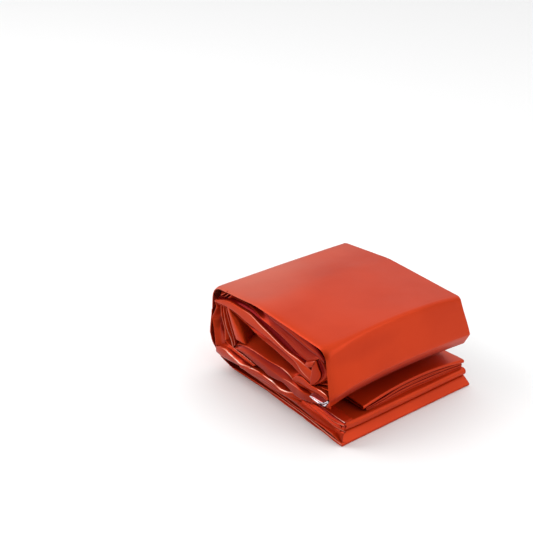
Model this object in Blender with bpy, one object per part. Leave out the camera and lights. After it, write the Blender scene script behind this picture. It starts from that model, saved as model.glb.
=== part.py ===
"""Folded emergency sleeping bag: one long strip of film, lying as it was folded and wrapped.

The opened bag is about 2.1 m by 0.9 m. It is pleated lengthwise into a strip as wide as the
packet, the strip is doubled, and the doubled strip is zigzagged into a flat lower stack, carried
round the back over the top, and wound inwards. One layer here stands for the films lying
together in the doubled strip. The section of the strip lies in the YZ plane and is carried
along X. The folds' open side faces -Y, the rounded back is at +Y, and the packet rests on Z = 0.
The film is metallised inside, and one corner of it is turned out at the front left.
"""

import math
from dataclasses import dataclass

import bmesh
import bpy
from mathutils import Vector

MM = 0.001

# Driving sizes, in millimetres.
FILM_STACK = 0.8  # one layer: about 27 films of 0.03 mm
FLARE_MOST = 6.0  # the most that the films of one layer spread apart at the left end
FLARE_POWER = 5  # how late towards the end they spread
DIP_POWER = 6  # how late towards the left end a drooping corner droops
CENTRE_X = -3.68  # middle of the packet in the folds' own coordinates
CENTRE_Y = 3.155

# Where the columns of the mesh lie across the strip, from its left edge (-1) to its right (+1).
COLUMNS = (-1.0, -0.88, -0.5, 0.0, 0.5, 0.88, 1.0)
LONGEST_FACET = 24.0  # straight stretches are divided so that crown and twist can show
SHORTEST_FACET = 0.3  # where two rounded corners meet, nothing straight is left between them

TOP_LEFT, TOP_RIGHT = -50.5, 42.0  # the wrapped part lies a little to the left
LOW_LEFT, LOW_RIGHT = -46.5, 44.5  # of the lower stack


@dataclass(frozen=True)
class Fold:
    """One corner of the strip's section, in millimetres.

    y, z and radius give the rounded corner at the packet's two ends. crown lifts it in the
    middle of the width, twist_y and twist_z add to it at the right end and take away from it at
    the left. dip lowers the left corner alone and tuck draws it towards the back. left and right
    are the strip's edges, and left_flare is how far the films have spread at the left one.
    """

    name: str
    y: float
    z: float
    radius: float = 0.7
    crown: float = 0.0
    twist_y: float = 0.0
    twist_z: float = 0.0
    dip: float = 0.0
    tuck: float = 0.0
    left: float = LOW_LEFT
    right: float = LOW_RIGHT
    left_flare: float = FILM_STACK

    def corner(self, across):
        """(y, z) of the corner at a place across the strip, from -1 to +1."""
        lift = self.crown * (1.0 - across * across)
        corner_share = max(0.0, -across) ** DIP_POWER
        y = self.y + self.twist_y * across + self.tuck * corner_share
        z = self.z + self.twist_z * across + lift - self.dip * corner_share
        return Vector((y, z))

    def edge(self, across):
        """The X position at a place across the strip."""
        middle, half = (self.left + self.right) / 2, (self.right - self.left) / 2
        return middle + half * across

    def flare(self, across):
        """Thickness of the layer at a place across the strip."""
        return FILM_STACK + (self.left_flare - FILM_STACK) * max(0.0, -across) ** FLARE_POWER


def wrapped(name, y, z, radius, left=TOP_LEFT, right=TOP_RIGHT, **sizes):
    """A fold of the wrapped part, which lies to the left of the lower stack."""
    return Fold(name, y, z, radius, left=left, right=right, **sizes)


LOWER_STACK = (
    Fold("free end", 22, 14.4, crown=0.8, left=-28, right=43),
    Fold("top flap, upper leaf", -42.6, 13.2, 0.75, crown=3.6, left=-28, right=44.5),
    Fold("top flap, lower leaf", -42.6, 11.7, 0.75, crown=3.6, left=-28, right=44.5),
    Fold("first back turn, upper", 27, 11.9, 0.75, crown=0.8, left=-44),
    Fold("first back turn, lower", 27, 10.3, 0.75, crown=0.8, left=-44),
    Fold("short fold, upper leaf", -40.4, 11.45, 0.6, crown=1.15, twist_z=-1.05, left=-12),
    Fold("short fold, lower leaf", -40.4, 10.25, 0.6, crown=1.15, twist_z=-1.05, left=-12),
    Fold("second back turn, upper", 31, 9.0, 0.7, crown=0.6),
    Fold("second back turn, lower", 31, 7.6, 0.7, crown=0.6),
    Fold("broad fold, upper leaf", -45, 9.3, 1.4, twist_z=-1.4, dip=-1.2, twist_y=1.0),
    Fold("broad fold, lower leaf", -45, 5.6, 1.4, twist_z=-0.8, dip=-1.0, twist_y=1.0),
    Fold("third back turn, upper", 35, 6.2, 0.85),
    Fold("third back turn, lower", 35, 4.4, 0.85),
    Fold("bottom leaf, bend", -37, 3.3, 5.0, dip=-0.9, left_flare=2.8),
    Fold("bottom fold, upper leaf", -47.0, 1.9, 0.7),
    Fold("bottom fold, lower leaf", -47.0, 0.4, 0.7),
)

OUTER_WRAP = (
    Fold("floor, lift-off", 16, 0.4, 40.0),
    Fold("back, foot", 53.5, 3.2, 20.0, left=-47.5, right=44),
    wrapped("back, shoulder", 53.0, 50.8, 10.0, twist_z=-0.6),
    wrapped("top, crest", 14, 53.6, 60.0, crown=1.4, twist_z=-0.8),
    wrapped("front ridge", -39.3, 50.2, 2.4, crown=3.4, right=40.6),
    wrapped("front lower ridge", -45.6, 30.4, 1.2, crown=1.4, dip=5.6, tuck=2.6, right=44.0),
    wrapped("front facet", -43.0, 25.8, 1.2, crown=1.8, dip=4.4, tuck=1.8, right=43.0),
    wrapped("mouth, inner end", -30.0, 16.6, 7.0, crown=3.4, dip=0.6, left_flare=2.0),
    wrapped("under the wrap", 12, 15.6, 40.0, crown=1.6, dip=1.2, left_flare=3.8),
)

INNER_TURNS = (
    wrapped("second back, foot", 49.8, 14.6, 6.5),
    wrapped("second back, shoulder", 50.0, 48.4, 8.0),
    wrapped("second top, crest", 14, 51.2, 60.0, crown=1.2, left_flare=1.8),
    wrapped("second ridge", -34.2, 44.6, 3.0, crown=3.4, left_flare=2.6),
    wrapped("second front, low", -41.6, 29.6, 2.0, crown=1.0, dip=1.5, tuck=3.4, left_flare=2.0),
    wrapped("second front, foot", -38.0, 25.4, 2.0, crown=1.6, dip=1.5, tuck=1.4, left_flare=1.4),
    wrapped("second floor", -26, 19.2, 8.0, crown=2.6, left_flare=1.8),
    wrapped("third back, foot", 46.3, 17.2, 5.0, left_flare=1.8),
    wrapped("third back, shoulder", 46.2, 46.4, 6.0, left_flare=1.8),
    wrapped("third top, crest", 22, 48.2, 30.0, crown=0.8, left_flare=2.8),
    wrapped("third top, fall", -4, 45.0, 30.0, crown=1.6, left_flare=3.6),
    wrapped("third nose, upper", -29.6, 38.8, 2.6, crown=2.0, left_flare=3.0),
    wrapped("third nose, lower", -29.6, 31.6, 2.6, crown=2.0, left_flare=3.0),
    wrapped("core leaf, rise", -2, 38.2, 20.0, crown=2.0, left_flare=5.0),
    wrapped("core leaf, top", 22, 43.0, 20.0, crown=0.8, left_flare=4.0),
    wrapped("first pleat, top", 42.4, 43.0, 1.6, left_flare=1.6),
    wrapped("first pleat, foot", 41.6, 19.8, 0.9),
    wrapped("second pleat, foot", 39.4, 19.8, 0.9),
    wrapped("second pleat, top", 38.2, 39.4, 0.9, left=-48.5),
    wrapped("third pleat, top", 36.2, 39.4, 0.9, left=-48.5),
    wrapped("third pleat, foot", 33.4, 21.4, 2.2, left_flare=1.8),
    wrapped("core floor, front", -27, 23.8, 1.8, crown=1.2, left_flare=1.8),
    wrapped("tail, bend", -27, 28.2, 1.8, crown=1.2, left=-44, right=38),
    wrapped("tail", 15, 33.0, 0.7, crown=1.6, left=-34, right=28),
)

FOLDS = LOWER_STACK + OUTER_WRAP + INNER_TURNS


@dataclass(frozen=True)
class CornerPost:
    """One upright line of the turned-out corner: where it stands and how far up it reaches."""

    name: str
    x: float
    y: float
    low: float
    high: float


CORNER_FILM = 0.5
METALLISED_CORNER = (
    CornerPost("loose end", -51.1, -28.6, 21.2, 23.2),
    CornerPost("tallest", -51.5, -33.8, 21.0, 26.8),
    CornerPost("bend", -51.7, -38.4, 20.8, 25.2),
    CornerPost("tucked end", -49.6, -39.0, 21.8, 23.6),
)


def arc_pieces(radius, turn):
    """How many pieces a rounded corner of this radius and turning angle is drawn with."""
    wanted = abs(turn) * (2.2 + math.sqrt(radius)) / 2.4
    return max(1, round(wanted))


def corner_arc(before, here, after, radius):
    """Start, centre, start angle and turn of the arc that rounds one corner."""
    incoming = (here - before).normalized()
    outgoing = (after - here).normalized()
    turn = math.atan2(
        incoming.x * outgoing.y - incoming.y * outgoing.x,
        incoming.dot(outgoing),
    )
    room = 0.48 * min((here - before).length, (after - here).length)
    reach = min(radius * math.tan(abs(turn) / 2), room)
    radius = reach / max(math.tan(abs(turn) / 2), 1e-6)
    start = here - incoming * reach
    side = math.copysign(1.0, turn)
    centre = start + Vector((-incoming.y, incoming.x)) * radius * side
    first = math.atan2(start.y - centre.y, start.x - centre.x)
    return start, centre, first, turn


def section(across, plan=None):
    """The strip's section at one place across its width.

    plan gives the number of pieces of each stretch and arc. Without it, it is worked out here,
    and returned, so that each other column is divided in the same way.
    Returns the points, each as (y and z, fold number, share of the way to the next fold).
    """
    corners = [fold.corner(across) for fold in FOLDS]
    last = len(corners) - 1
    points = [(corners[0], 0, 0.0)]
    pieces = []
    for number in range(1, last):
        radius = FOLDS[number].radius
        start, centre, first, turn = corner_arc(*corners[number - 1 : number + 2], radius)
        if plan is None:
            stretch = (start - points[-1][0]).length
            straight = math.ceil(stretch / LONGEST_FACET) if stretch > SHORTEST_FACET else 0
            pieces.append((straight, arc_pieces(radius, turn)))
        straight, round_pieces = (plan or pieces)[number - 1]
        origin = points[-1][0]
        for step in range(1, straight + 1):
            share = step / straight
            spot = origin.lerp(start, share)
            points.append((spot, number - 1, share) if step < straight else (spot, number, 0.0))
        span = (start - centre).length
        for step in range(1, round_pieces + 1):
            angle = first + turn * step / round_pieces
            spot = centre + Vector((math.cos(angle), math.sin(angle))) * span
            points.append((spot, number, 0.0))
    origin = points[-1][0]
    if plan is None:
        pieces.append((math.ceil((corners[last] - origin).length / LONGEST_FACET), 0))
    straight = (plan or pieces)[last - 1][0]
    for step in range(1, straight + 1):
        share = step / straight
        points.append((origin.lerp(corners[last], share), last - 1, share))
    return points, plan or pieces


def between(point, quantity):
    """A quantity of the folds, mixed for a section's point that lies between two of them."""
    _, number, share = point
    here = quantity(FOLDS[number])
    there = quantity(FOLDS[min(number + 1, len(FOLDS) - 1)])
    return here + (there - here) * share


def placed(point, across):
    """The 3-D position of a section's point, in metres, in the packet's frame."""
    x = between(point, lambda fold: fold.edge(across))
    return Vector((x - CENTRE_X, point[0].x - CENTRE_Y, point[0].y)) * MM


def extrude_across(sheet, weights, columns):
    """Draws the first section as a line of edges and extrudes it from column to column."""
    points, across = columns[0]
    line = [sheet.verts.new(placed(point, across)) for point in points]
    edges = [sheet.edges.new(pair) for pair in zip(line, line[1:])]
    for vertex, point in zip(line, points):
        vertex[weights][0] = between(point, lambda fold: fold.flare(across)) / FLARE_MOST
    for points, across in columns[1:]:
        made = bmesh.ops.extrude_edge_only(sheet, edges=edges)["geom"]
        fresh = {item for item in made if isinstance(item, bmesh.types.BMVert)}
        following = []
        for vertex, point in zip(line, points):
            beside = [edge.other_vert(vertex) for edge in vertex.link_edges]
            twin = next(other for other in beside if other in fresh)
            twin.co = placed(point, across)
            twin[weights][0] = between(point, lambda fold: fold.flare(across)) / FLARE_MOST
            following.append(twin)
        line = following
        edges = [sheet.edges.get(pair) for pair in zip(line, line[1:])]


def film_material(name, colour, roughness, metallic):
    """A plain material of the finish's colour."""
    material = bpy.data.materials.new(name)
    material.use_nodes = True
    shader = material.node_tree.nodes["Principled BSDF"]
    shader.inputs["Base Color"].default_value = (*colour, 1.0)
    shader.inputs["Roughness"].default_value = roughness
    shader.inputs["Metallic"].default_value = metallic
    return material


def build_corner():
    """The corner of the film turned out at the front left, showing its metallised inside."""
    mesh = bpy.data.meshes.new("metallised_corner")
    corner = bpy.data.objects.new("metallised_corner", mesh)
    bpy.context.collection.objects.link(corner)
    sheet = bmesh.new()
    rows = []
    for post in METALLISED_CORNER:
        heights = (post.low, (post.low + post.high) / 2, post.high)
        shift = (post.x - CENTRE_X, post.y - CENTRE_Y)
        rows.append([sheet.verts.new(Vector((*shift, z)) * MM) for z in heights])
    for here, there in zip(rows, rows[1:]):
        for step in range(len(here) - 1):
            sheet.faces.new((here[step], there[step], there[step + 1], here[step + 1]))
    bmesh.ops.recalc_face_normals(sheet, faces=sheet.faces)
    sheet.to_mesh(mesh)
    sheet.free()
    thicken = corner.modifiers.new("film", "SOLIDIFY")
    thicken.thickness = CORNER_FILM * MM
    thicken.offset = 0.0
    mesh.materials.append(film_material("metallised film", (0.55, 0.56, 0.58), 0.25, 1.0))
    return corner


def build_strip():
    """The whole folded strip, one solid."""
    mesh = bpy.data.meshes.new("folded_bag")
    strip = bpy.data.objects.new("folded_bag", mesh)
    bpy.context.collection.objects.link(strip)
    flare = strip.vertex_groups.new(name="flare")
    sheet = bmesh.new()
    weights = sheet.verts.layers.deform.verify()
    _, plan = section(0.0)
    columns = [(section(across, plan)[0], across) for across in COLUMNS]
    extrude_across(sheet, weights, columns)
    bmesh.ops.recalc_face_normals(sheet, faces=sheet.faces)
    sheet.to_mesh(mesh)
    sheet.free()
    thicken = strip.modifiers.new("film stack", "SOLIDIFY")
    thicken.thickness = FLARE_MOST * MM
    thicken.offset = 0.0
    thicken.vertex_group = flare.name
    mesh.materials.append(film_material("orange film", (0.62, 0.07, 0.02), 0.3, 0.0))
    return strip


def main():
    for item in list(bpy.data.objects):
        bpy.data.objects.remove(item)
    build_strip()
    build_corner()


main()
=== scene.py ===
"""Folded emergency sleeping bag, dressed.

One long strip of glossy orange film is zigzagged into a flat stack, carried round the back and
over the top, and wound inwards. The strip's left end is crumpled: bands, pleats and creased
leaves of film. At the front the edges of the stack fan out under the top flap, and one corner of
the film is turned out, showing its metallised inside.

The tables give places in the folds' own coordinates, in millimetres: x across the strip to the
right, y towards the rounded back and z up.
"""

import logging
import math
from abc import ABC, abstractmethod
from collections.abc import Callable
from dataclasses import dataclass, field
from enum import Enum
from functools import partial
from typing import ClassVar

import bmesh
import bpy
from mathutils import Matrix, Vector, noise


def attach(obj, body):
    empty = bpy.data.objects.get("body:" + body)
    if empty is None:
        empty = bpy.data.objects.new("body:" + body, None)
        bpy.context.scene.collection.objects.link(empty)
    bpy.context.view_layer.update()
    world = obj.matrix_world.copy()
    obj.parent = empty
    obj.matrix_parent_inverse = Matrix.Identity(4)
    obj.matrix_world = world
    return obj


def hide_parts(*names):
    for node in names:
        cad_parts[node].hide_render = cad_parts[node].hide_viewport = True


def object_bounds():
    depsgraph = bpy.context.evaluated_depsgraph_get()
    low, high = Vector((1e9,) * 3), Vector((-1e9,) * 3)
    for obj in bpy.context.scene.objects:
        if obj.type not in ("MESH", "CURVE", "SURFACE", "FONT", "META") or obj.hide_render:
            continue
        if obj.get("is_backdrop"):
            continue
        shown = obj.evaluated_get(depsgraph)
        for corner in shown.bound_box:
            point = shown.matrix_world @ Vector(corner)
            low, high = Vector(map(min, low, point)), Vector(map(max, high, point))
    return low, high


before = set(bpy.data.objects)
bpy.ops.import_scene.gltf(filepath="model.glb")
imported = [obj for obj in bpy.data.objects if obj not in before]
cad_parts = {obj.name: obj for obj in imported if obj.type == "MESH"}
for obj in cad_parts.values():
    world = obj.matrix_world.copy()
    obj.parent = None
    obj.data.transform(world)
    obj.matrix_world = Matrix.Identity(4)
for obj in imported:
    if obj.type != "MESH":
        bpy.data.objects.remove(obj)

Triple = tuple[float, float, float]

LOG = logging.getLogger("folded_bag")
CAD_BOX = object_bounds()
MM = 0.001
TINY = 1e-6
PAINTED_LIGHT = "painted_light"  # the painted light attribute: -1 is full painted shade, 2 a bright painted glint

# The middle of the packet in the folds' coordinates.
CENTRE_X = -3.68
CENTRE_Y = 3.155


class Slot(Enum):
    """The record's material slots."""

    ORANGE = "orange_film"
    METALLISED = "metallised_film"


def to_frame(x: float, y: float, z: float) -> Vector:
    """Turns a place in the folds' coordinates (mm) into the packet's frame (m)."""
    return Vector((x - CENTRE_X, y - CENTRE_Y, z)) * MM


def wave(x: float, y: float, z: float, size: float, seed: float) -> float:
    """Smooth undulation between about -1 and 1, with features of the given size in mm."""
    return noise.noise(Vector((x / size + seed, y / size - seed, z / size + 0.5 * seed)))


# --------------------------------------------------------------------------------- finishes


class Mixing:
    """A material while its nodes are put together.

    Attributes:
        material: the material.
        shader: its surface shader.
        place: the socket that gives Object coordinates.
    """

    def __init__(self, name: str) -> None:
        """Starts a material.

        Args:
            name: the material's name.
        """
        self.material = bpy.data.materials.new(name)
        self.material.use_nodes = True
        self.shader = self.material.node_tree.nodes["Principled BSDF"]
        self.place = self.add("TexCoord").outputs["Object"]

    def add(
        self, kind: str, inputs: dict[str, object] | None = None, **options: str
    ) -> bpy.types.Node:
        """Adds a node.

        Args:
            kind: what node it is, as in ShaderNode's names.
            inputs: the value of each input, or the socket that feeds it.
            options: the node's own settings.

        Returns:
            The node.
        """
        node = self.material.node_tree.nodes.new(f"ShaderNode{kind}")
        for option, choice in options.items():
            setattr(node, option, choice)
        self.feed(node, inputs or {})
        return node

    def feed(self, node: bpy.types.Node, inputs: dict[str, object]) -> None:
        """Sets or links a node's inputs.

        Args:
            node: the node.
            inputs: the value of each input, or the socket that feeds it.
        """
        for name, value in inputs.items():
            if isinstance(value, bpy.types.NodeSocket):
                self.material.node_tree.links.new(value, node.inputs[name])
            else:
                node.inputs[name].default_value = value

    def clouds(self, scale: float, detail: float) -> bpy.types.NodeSocket:
        """Soft noise on Object coordinates, as its value's socket."""
        inputs = {"Scale": scale, "Detail": detail, "Vector": self.place}
        return self.add("TexNoise", inputs).outputs["Fac"]

    def ramp(
        self,
        value: bpy.types.NodeSocket,
        start: float,
        full: float,
        low: float = 0.0,
        high: float = 1.0,
    ) -> bpy.types.NodeSocket:
        """Stretches a value from one range to another.

        Args:
            value: the value's socket.
            start: where its range starts.
            full: where its range ends.
            low: what it becomes at the start.
            high: what it becomes at the end.

        Returns:
            The stretched value's socket.
        """
        spread = {"From Min": start, "From Max": full, "To Min": low, "To Max": high}
        return self.add("MapRange", {"Value": value, **spread}).outputs["Result"]

    def blend(
        self, first: Triple | bpy.types.NodeSocket, other: Triple, factor: bpy.types.NodeSocket
    ) -> bpy.types.NodeSocket:
        """Blends two colours.

        Args:
            first: the first colour, or its socket.
            other: the second colour.
            factor: the socket of the second colour's share.

        Returns:
            The blend's socket.
        """
        mix = self.add("Mix", data_type="RGBA")
        start = (*first, 1.0) if isinstance(first, tuple) else first
        self.feed(mix, {"A": start, "B": (*other, 1.0), "Factor": factor})
        return mix.outputs["Result"]

    def painted_light(
        self, colour: bpy.types.NodeSocket, other: Triple, full: float, start: float = 0.0
    ) -> bpy.types.NodeSocket:
        """Blends another colour in where the painted light lies in a range: painted highlights and
        glints above zero, painted shade and painted reflection below zero.

        Args:
            colour: the first colour's socket.
            other: the other colour.
            full: the painted light at which it is all there.
            start: the painted light at which it starts.

        Returns:
            The blend's socket.
        """
        painted_light_level = self.add("Attribute", attribute_name=PAINTED_LIGHT).outputs["Fac"]
        return self.blend(colour, other, self.ramp(painted_light_level, start, full))

    def relief(self, height: bpy.types.NodeSocket, depth: float) -> None:
        """Gives the surface a relief of the given depth in mm."""
        bump = self.add("Bump", {"Strength": 1.0, "Distance": depth * MM, "Height": height})
        self.feed(self.shader, {"Normal": bump.outputs["Normal"]})


@dataclass(frozen=True)
class FilmFinish:
    """Satin coloured film.

    Attributes:
        name: the material's name.
        roughness: its mean roughness.
        coat: how strong its clear coat is.
        coat_roughness: how rough the coat is.
        specular: how strongly it mirrors where it isn't metallic.
        metallic: how metallic it looks, from the metal layer beneath.
        smoother: how much less rough it gets in places.
        rougher: how much rougher it gets in places.
        ripple: the depth that its faint ripples seem to have, in mm.
        colour: its colour.
        drifted: the slightly deeper colour that it drifts to.
        pale: its colour for the painted highlights on its ridges.
        glint: its colour for the painted glints on its sharpest creases.
        painted_shade_colour: its colour for the painted shade between the folds.
    """

    name: str
    roughness: float
    coat: float
    coat_roughness: float
    specular: float
    metallic: float = 0.5
    smoother: float = 0.03
    rougher: float = 0.04
    ripple: float = 0.03
    colour: Triple = (0.54, 0.040, 0.006)
    drifted: Triple = (0.50, 0.035, 0.005)
    pale: Triple = (1.0, 0.46, 0.34)
    glint: Triple = (1.0, 0.86, 0.82)
    painted_shade_colour: Triple = (0.17, 0.0015, 0.003)

    def material(self) -> bpy.types.Material:
        """Builds the film's procedural material.

        Returns:
            The finished material.
        """
        mixing = Mixing(self.name)
        drift = mixing.ramp(mixing.clouds(scale=34.0, detail=3.0), start=0.35, full=0.6)
        tint = mixing.blend(self.drifted, self.colour, drift)
        # Painted highlights on the ridges, painted glints on the sharpest creases and painted
        # shade in the folds.
        tint = mixing.painted_light(tint, self.pale, full=1.3)
        tint = mixing.painted_light(tint, self.glint, full=1.7, start=1.0)
        tint = mixing.painted_light(tint, self.painted_shade_colour, full=-1.0)
        low, high = self.roughness - self.smoother, self.roughness + self.rougher
        clouds = mixing.clouds(scale=60.0, detail=2.0)
        haze = mixing.ramp(clouds, start=0.3, full=0.7, low=low, high=high)
        mixing.feed(mixing.shader, {"Base Color": tint, "Roughness": haze})
        inputs = mixing.shader.inputs
        inputs["Metallic"].default_value = self.metallic
        inputs["Specular IOR Level"].default_value = self.specular
        inputs["Coat Weight"].default_value = self.coat
        inputs["Coat Roughness"].default_value = self.coat_roughness
        mixing.relief(mixing.clouds(scale=40.0, detail=1.0), self.ripple)
        return mixing.material


@dataclass(frozen=True)
class MetallisedFinish:
    """The film's bright inner face, streaked along its folds with painted bright and dark
    reflections.

    Attributes:
        name: the material's name.
        bright: its colour in the painted bright reflections along the streaks.
        dark: its colour in the painted dark reflections along the streaks.
        painted_film_reflection: its colour for the painted reflection of the orange film, where
            the painted light is below zero.
        roughness: its roughness.
        streaks: how many streaks to the metre lie along each axis.
        relief: the depth that the streaks seem to have, in mm.
    """

    name: str = "metallised film"
    bright: Triple = (0.86, 0.86, 0.92)
    dark: Triple = (0.03, 0.03, 0.035)
    painted_film_reflection: Triple = (0.16, 0.012, 0.010)
    roughness: float = 0.16
    streaks: Triple = (300.0, 110.0, 1300.0)
    relief: float = 0.1

    def material(self) -> bpy.types.Material:
        """Builds the metallised film's procedural material.

        Returns:
            The finished material.
        """
        mixing = Mixing(self.name)
        stretch = mixing.add("Mapping", {"Scale": self.streaks, "Vector": mixing.place})
        inputs = {"Scale": 1.0, "Detail": 2.0, "Vector": stretch.outputs["Vector"]}
        streaks = mixing.add("TexNoise", inputs).outputs["Fac"]
        # Painted reflections: dark and bright streaks along the folds.
        contrast = mixing.ramp(streaks, start=0.46, full=0.57)
        tint = mixing.blend(self.dark, self.bright, contrast)
        # Painted reflection of the orange film, where the painted light is below zero.
        tint = mixing.painted_light(tint, self.painted_film_reflection, full=-0.5)
        surface = {"Base Color": tint, "Roughness": self.roughness, "Metallic": 1.0}
        mixing.feed(mixing.shader, surface)
        mixing.relief(streaks, self.relief)
        return mixing.material


SMOOTH_FILM = FilmFinish(
    "smooth orange film", roughness=0.40, coat=0.07, coat_roughness=0.2, specular=0.1
)
CRUMPLED_FILM = FilmFinish(
    "crumpled orange film", roughness=0.34, coat=0.04, coat_roughness=0.09, specular=0.04
)


# ----------------------------------------------------------------------------------- sheets


class FilmPiece(ABC):
    """A piece of film, built as one mesh.

    Attributes:
        slot: the record's material slot that matches its finish.
        node: the CAD node that it stands for.
        name: the piece's name.
        film: its thickness in mm.
        width: the width in metres that its flat area can be worked out over.
    """

    slot: ClassVar[Slot] = Slot.ORANGE
    node: ClassVar[str] = "folded_bag"
    name: str
    film: float
    width: float

    @abstractmethod
    def fill(self, sheet: bmesh.types.BMesh) -> float:
        """Makes the film's surface, in metres, in the packet's frame.

        Args:
            sheet: the mesh that it is made in.

        Returns:
            Its area in square metres.
        """

    def declare(self, piece: bpy.types.Object, area: float) -> None:
        """Takes the piece and its area in square metres; here it does nothing."""

    def build(self, material: bpy.types.Material) -> bpy.types.Object:
        """Builds the piece.

        Args:
            material: its finish.

        Returns:
            The object, riding on the packet.
        """
        mesh = bpy.data.meshes.new(self.name)
        sheet = bmesh.new()
        sheet.verts.layers.float.new(PAINTED_LIGHT)
        area = self.fill(sheet)
        bmesh.ops.recalc_face_normals(sheet, faces=sheet.faces)
        for face in sheet.faces:
            face.smooth = True
        sheet.to_mesh(mesh)
        sheet.free()
        piece = bpy.data.objects.new(self.name, mesh)
        bpy.context.scene.collection.objects.link(piece)
        thicken = piece.modifiers.new("film", "SOLIDIFY")
        thicken.thickness = self.film * MM
        thicken.offset = 0.0
        mesh.materials.append(material)
        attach(piece, "root")
        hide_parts(self.node)
        self.declare(piece, area)
        LOG.info("%s: %d faces, %.4f square m of film", self.name, len(mesh.polygons), area)
        return piece


def add_grid(
    sheet: bmesh.types.BMesh,
    along: int,
    across: int,
    place: Callable[[float, float], Vector],
    painted_light: Callable[[float, float], float],
) -> float:
    """Adds a rectangular net and moves each crossing to its place.

    Args:
        sheet: the mesh that the net is added to.
        along: number of faces along it.
        across: number of faces across it.
        place: gives the place, in metres, for (share along, share across), each from 0 to 1.
        painted_light: gives the film's painted light there.

    Returns:
        The area of the placed net in square metres.
    """
    made = bmesh.ops.create_grid(sheet, x_segments=along, y_segments=across, size=0.5)
    verts = made["verts"]
    layer = sheet.verts.layers.float[PAINTED_LIGHT]
    for vertex in verts:
        shares = vertex.co.x + 0.5, vertex.co.y + 0.5
        vertex.co = place(*shares)
        vertex[layer] = painted_light(*shares)
    faces = {face for vertex in verts for face in vertex.link_faces}
    return sum(face.calc_area() for face in faces)


# ----------------------------------------------------------------------------- wound strip

DIP_FALL = 6  # how suddenly a corner's dip and tuck set in towards the left end
SOFT_FALL = 4  # how suddenly its bend softens there


@dataclass(frozen=True)
class Fold:
    """One corner of the strip's section, in millimetres.

    Attributes:
        name: what it is.
        y: its place towards the back.
        z: its height.
        radius: the radius of its bend.
        crown: how much higher it is in the middle of the width.
        twist_y: what the right end adds to y, and the left end takes away.
        twist_z: what the right end adds to z, and the left end takes away.
        dip: how far the left corner alone is lowered.
        tuck: how far the left corner is drawn towards the back.
        left: X of the strip's left edge there.
        right: X of its right edge there.
        round_left: how much softer the bend is at the left.
    """

    name: str
    y: float
    z: float
    radius: float = 0.7
    crown: float = 0.0
    twist_y: float = 0.0
    twist_z: float = 0.0
    dip: float = 0.0
    tuck: float = 0.0
    left: float = -46.5
    right: float = 44.5
    round_left: float = 0.0

    def corner(self, across: float) -> Vector:
        """Places the corner.

        Args:
            across: the place across the strip, from -1 to +1.

        Returns:
            The corner's y and z there.
        """
        share = max(0.0, -across) ** DIP_FALL
        lift = self.crown * (1.0 - across * across)
        y = self.y + self.twist_y * across + self.tuck * share
        return Vector((y, self.z + self.twist_z * across + lift - self.dip * share))

    def edge(self, across: float) -> float:
        """The X position at a place across the strip."""
        return (self.left + self.right) / 2 + (self.right - self.left) / 2 * across

    def rounding(self, across: float) -> float:
        """The corner's radius at a place across the strip."""
        return self.radius + self.round_left * max(0.0, -across) ** SOFT_FALL


@dataclass(frozen=True)
class Arc:
    """The arc that rounds a corner of the strip's section.

    Attributes:
        start: its first place, as y and z.
        centre: its centre.
        radius: its radius in mm.
        first: the angle at which it starts.
        turn: how far it turns.
    """

    start: Vector
    centre: Vector
    radius: float
    first: float
    turn: float

    def at(self, share: float) -> Vector:
        """The y and z at a share of the arc, from 0 to 1."""
        angle = self.first + self.turn * share
        return self.centre + Vector((math.cos(angle), math.sin(angle))) * self.radius


LOWER_STACK = (
    Fold("free end", 22, 14.4, crown=0.8, left=-28, right=43),
    Fold("top flap, upper leaf", -42.6, 13.2, 0.75, crown=3.6, left=-28, right=44.5),
    Fold("top flap, lower leaf", -42.6, 11.7, 0.75, crown=3.6, left=-28, right=44.5),
    Fold("first back turn, upper", 27, 11.9, 0.75, crown=0.8, left=-29),
    Fold("first back turn, lower", 27, 10.3, 0.75, crown=0.8, left=-29),
    Fold("short fold, upper leaf", -40.4, 11.45, 0.6, crown=1.15, twist_z=-1.05, left=-12),
    Fold("short fold, lower leaf", -40.4, 10.25, 0.6, crown=1.15, twist_z=-1.05, left=-12),
    Fold("second back turn, upper", 31, 9.0, 0.7, crown=0.6, left=-43.0),
    Fold("second back turn, lower", 31, 7.6, 0.7, crown=0.6, left=-43.0),
    Fold("broad fold, upper leaf", -45, 9.5, 1.4, twist_z=-1.0, dip=-1.4, twist_y=1.0),
    Fold("broad fold, lower leaf", -45, 5.9, 1.4, twist_z=-0.6, dip=-1.3, twist_y=1.0),
    Fold("third back turn, upper", 35, 6.2, 0.85, left=-41.5),
    Fold("third back turn, lower", 35, 4.4, 0.85, left=-41.5),
    Fold("bottom leaf, bend", -43.4, 4.7, 2.0, twist_z=-0.4, dip=-1.2, twist_y=0.6, left=-49),
    Fold("bottom fold, upper leaf", -47.3, 1.3, 0.6),
    Fold("bottom fold, lower leaf", -47.3, 0.4, 0.5),
    Fold("floor, lift-off", 16, 0.4, 40.0, left=-41.6),
)


def wrapped(name: str, y: float, z: float, radius: float, **sizes: float) -> Fold:
    """A fold of the wrapped part, which lies to the left of the lower stack."""
    sizes = {"left": -50.6, "right": 42.0, **sizes}
    return Fold(name, y, z, radius, **sizes)


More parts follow.
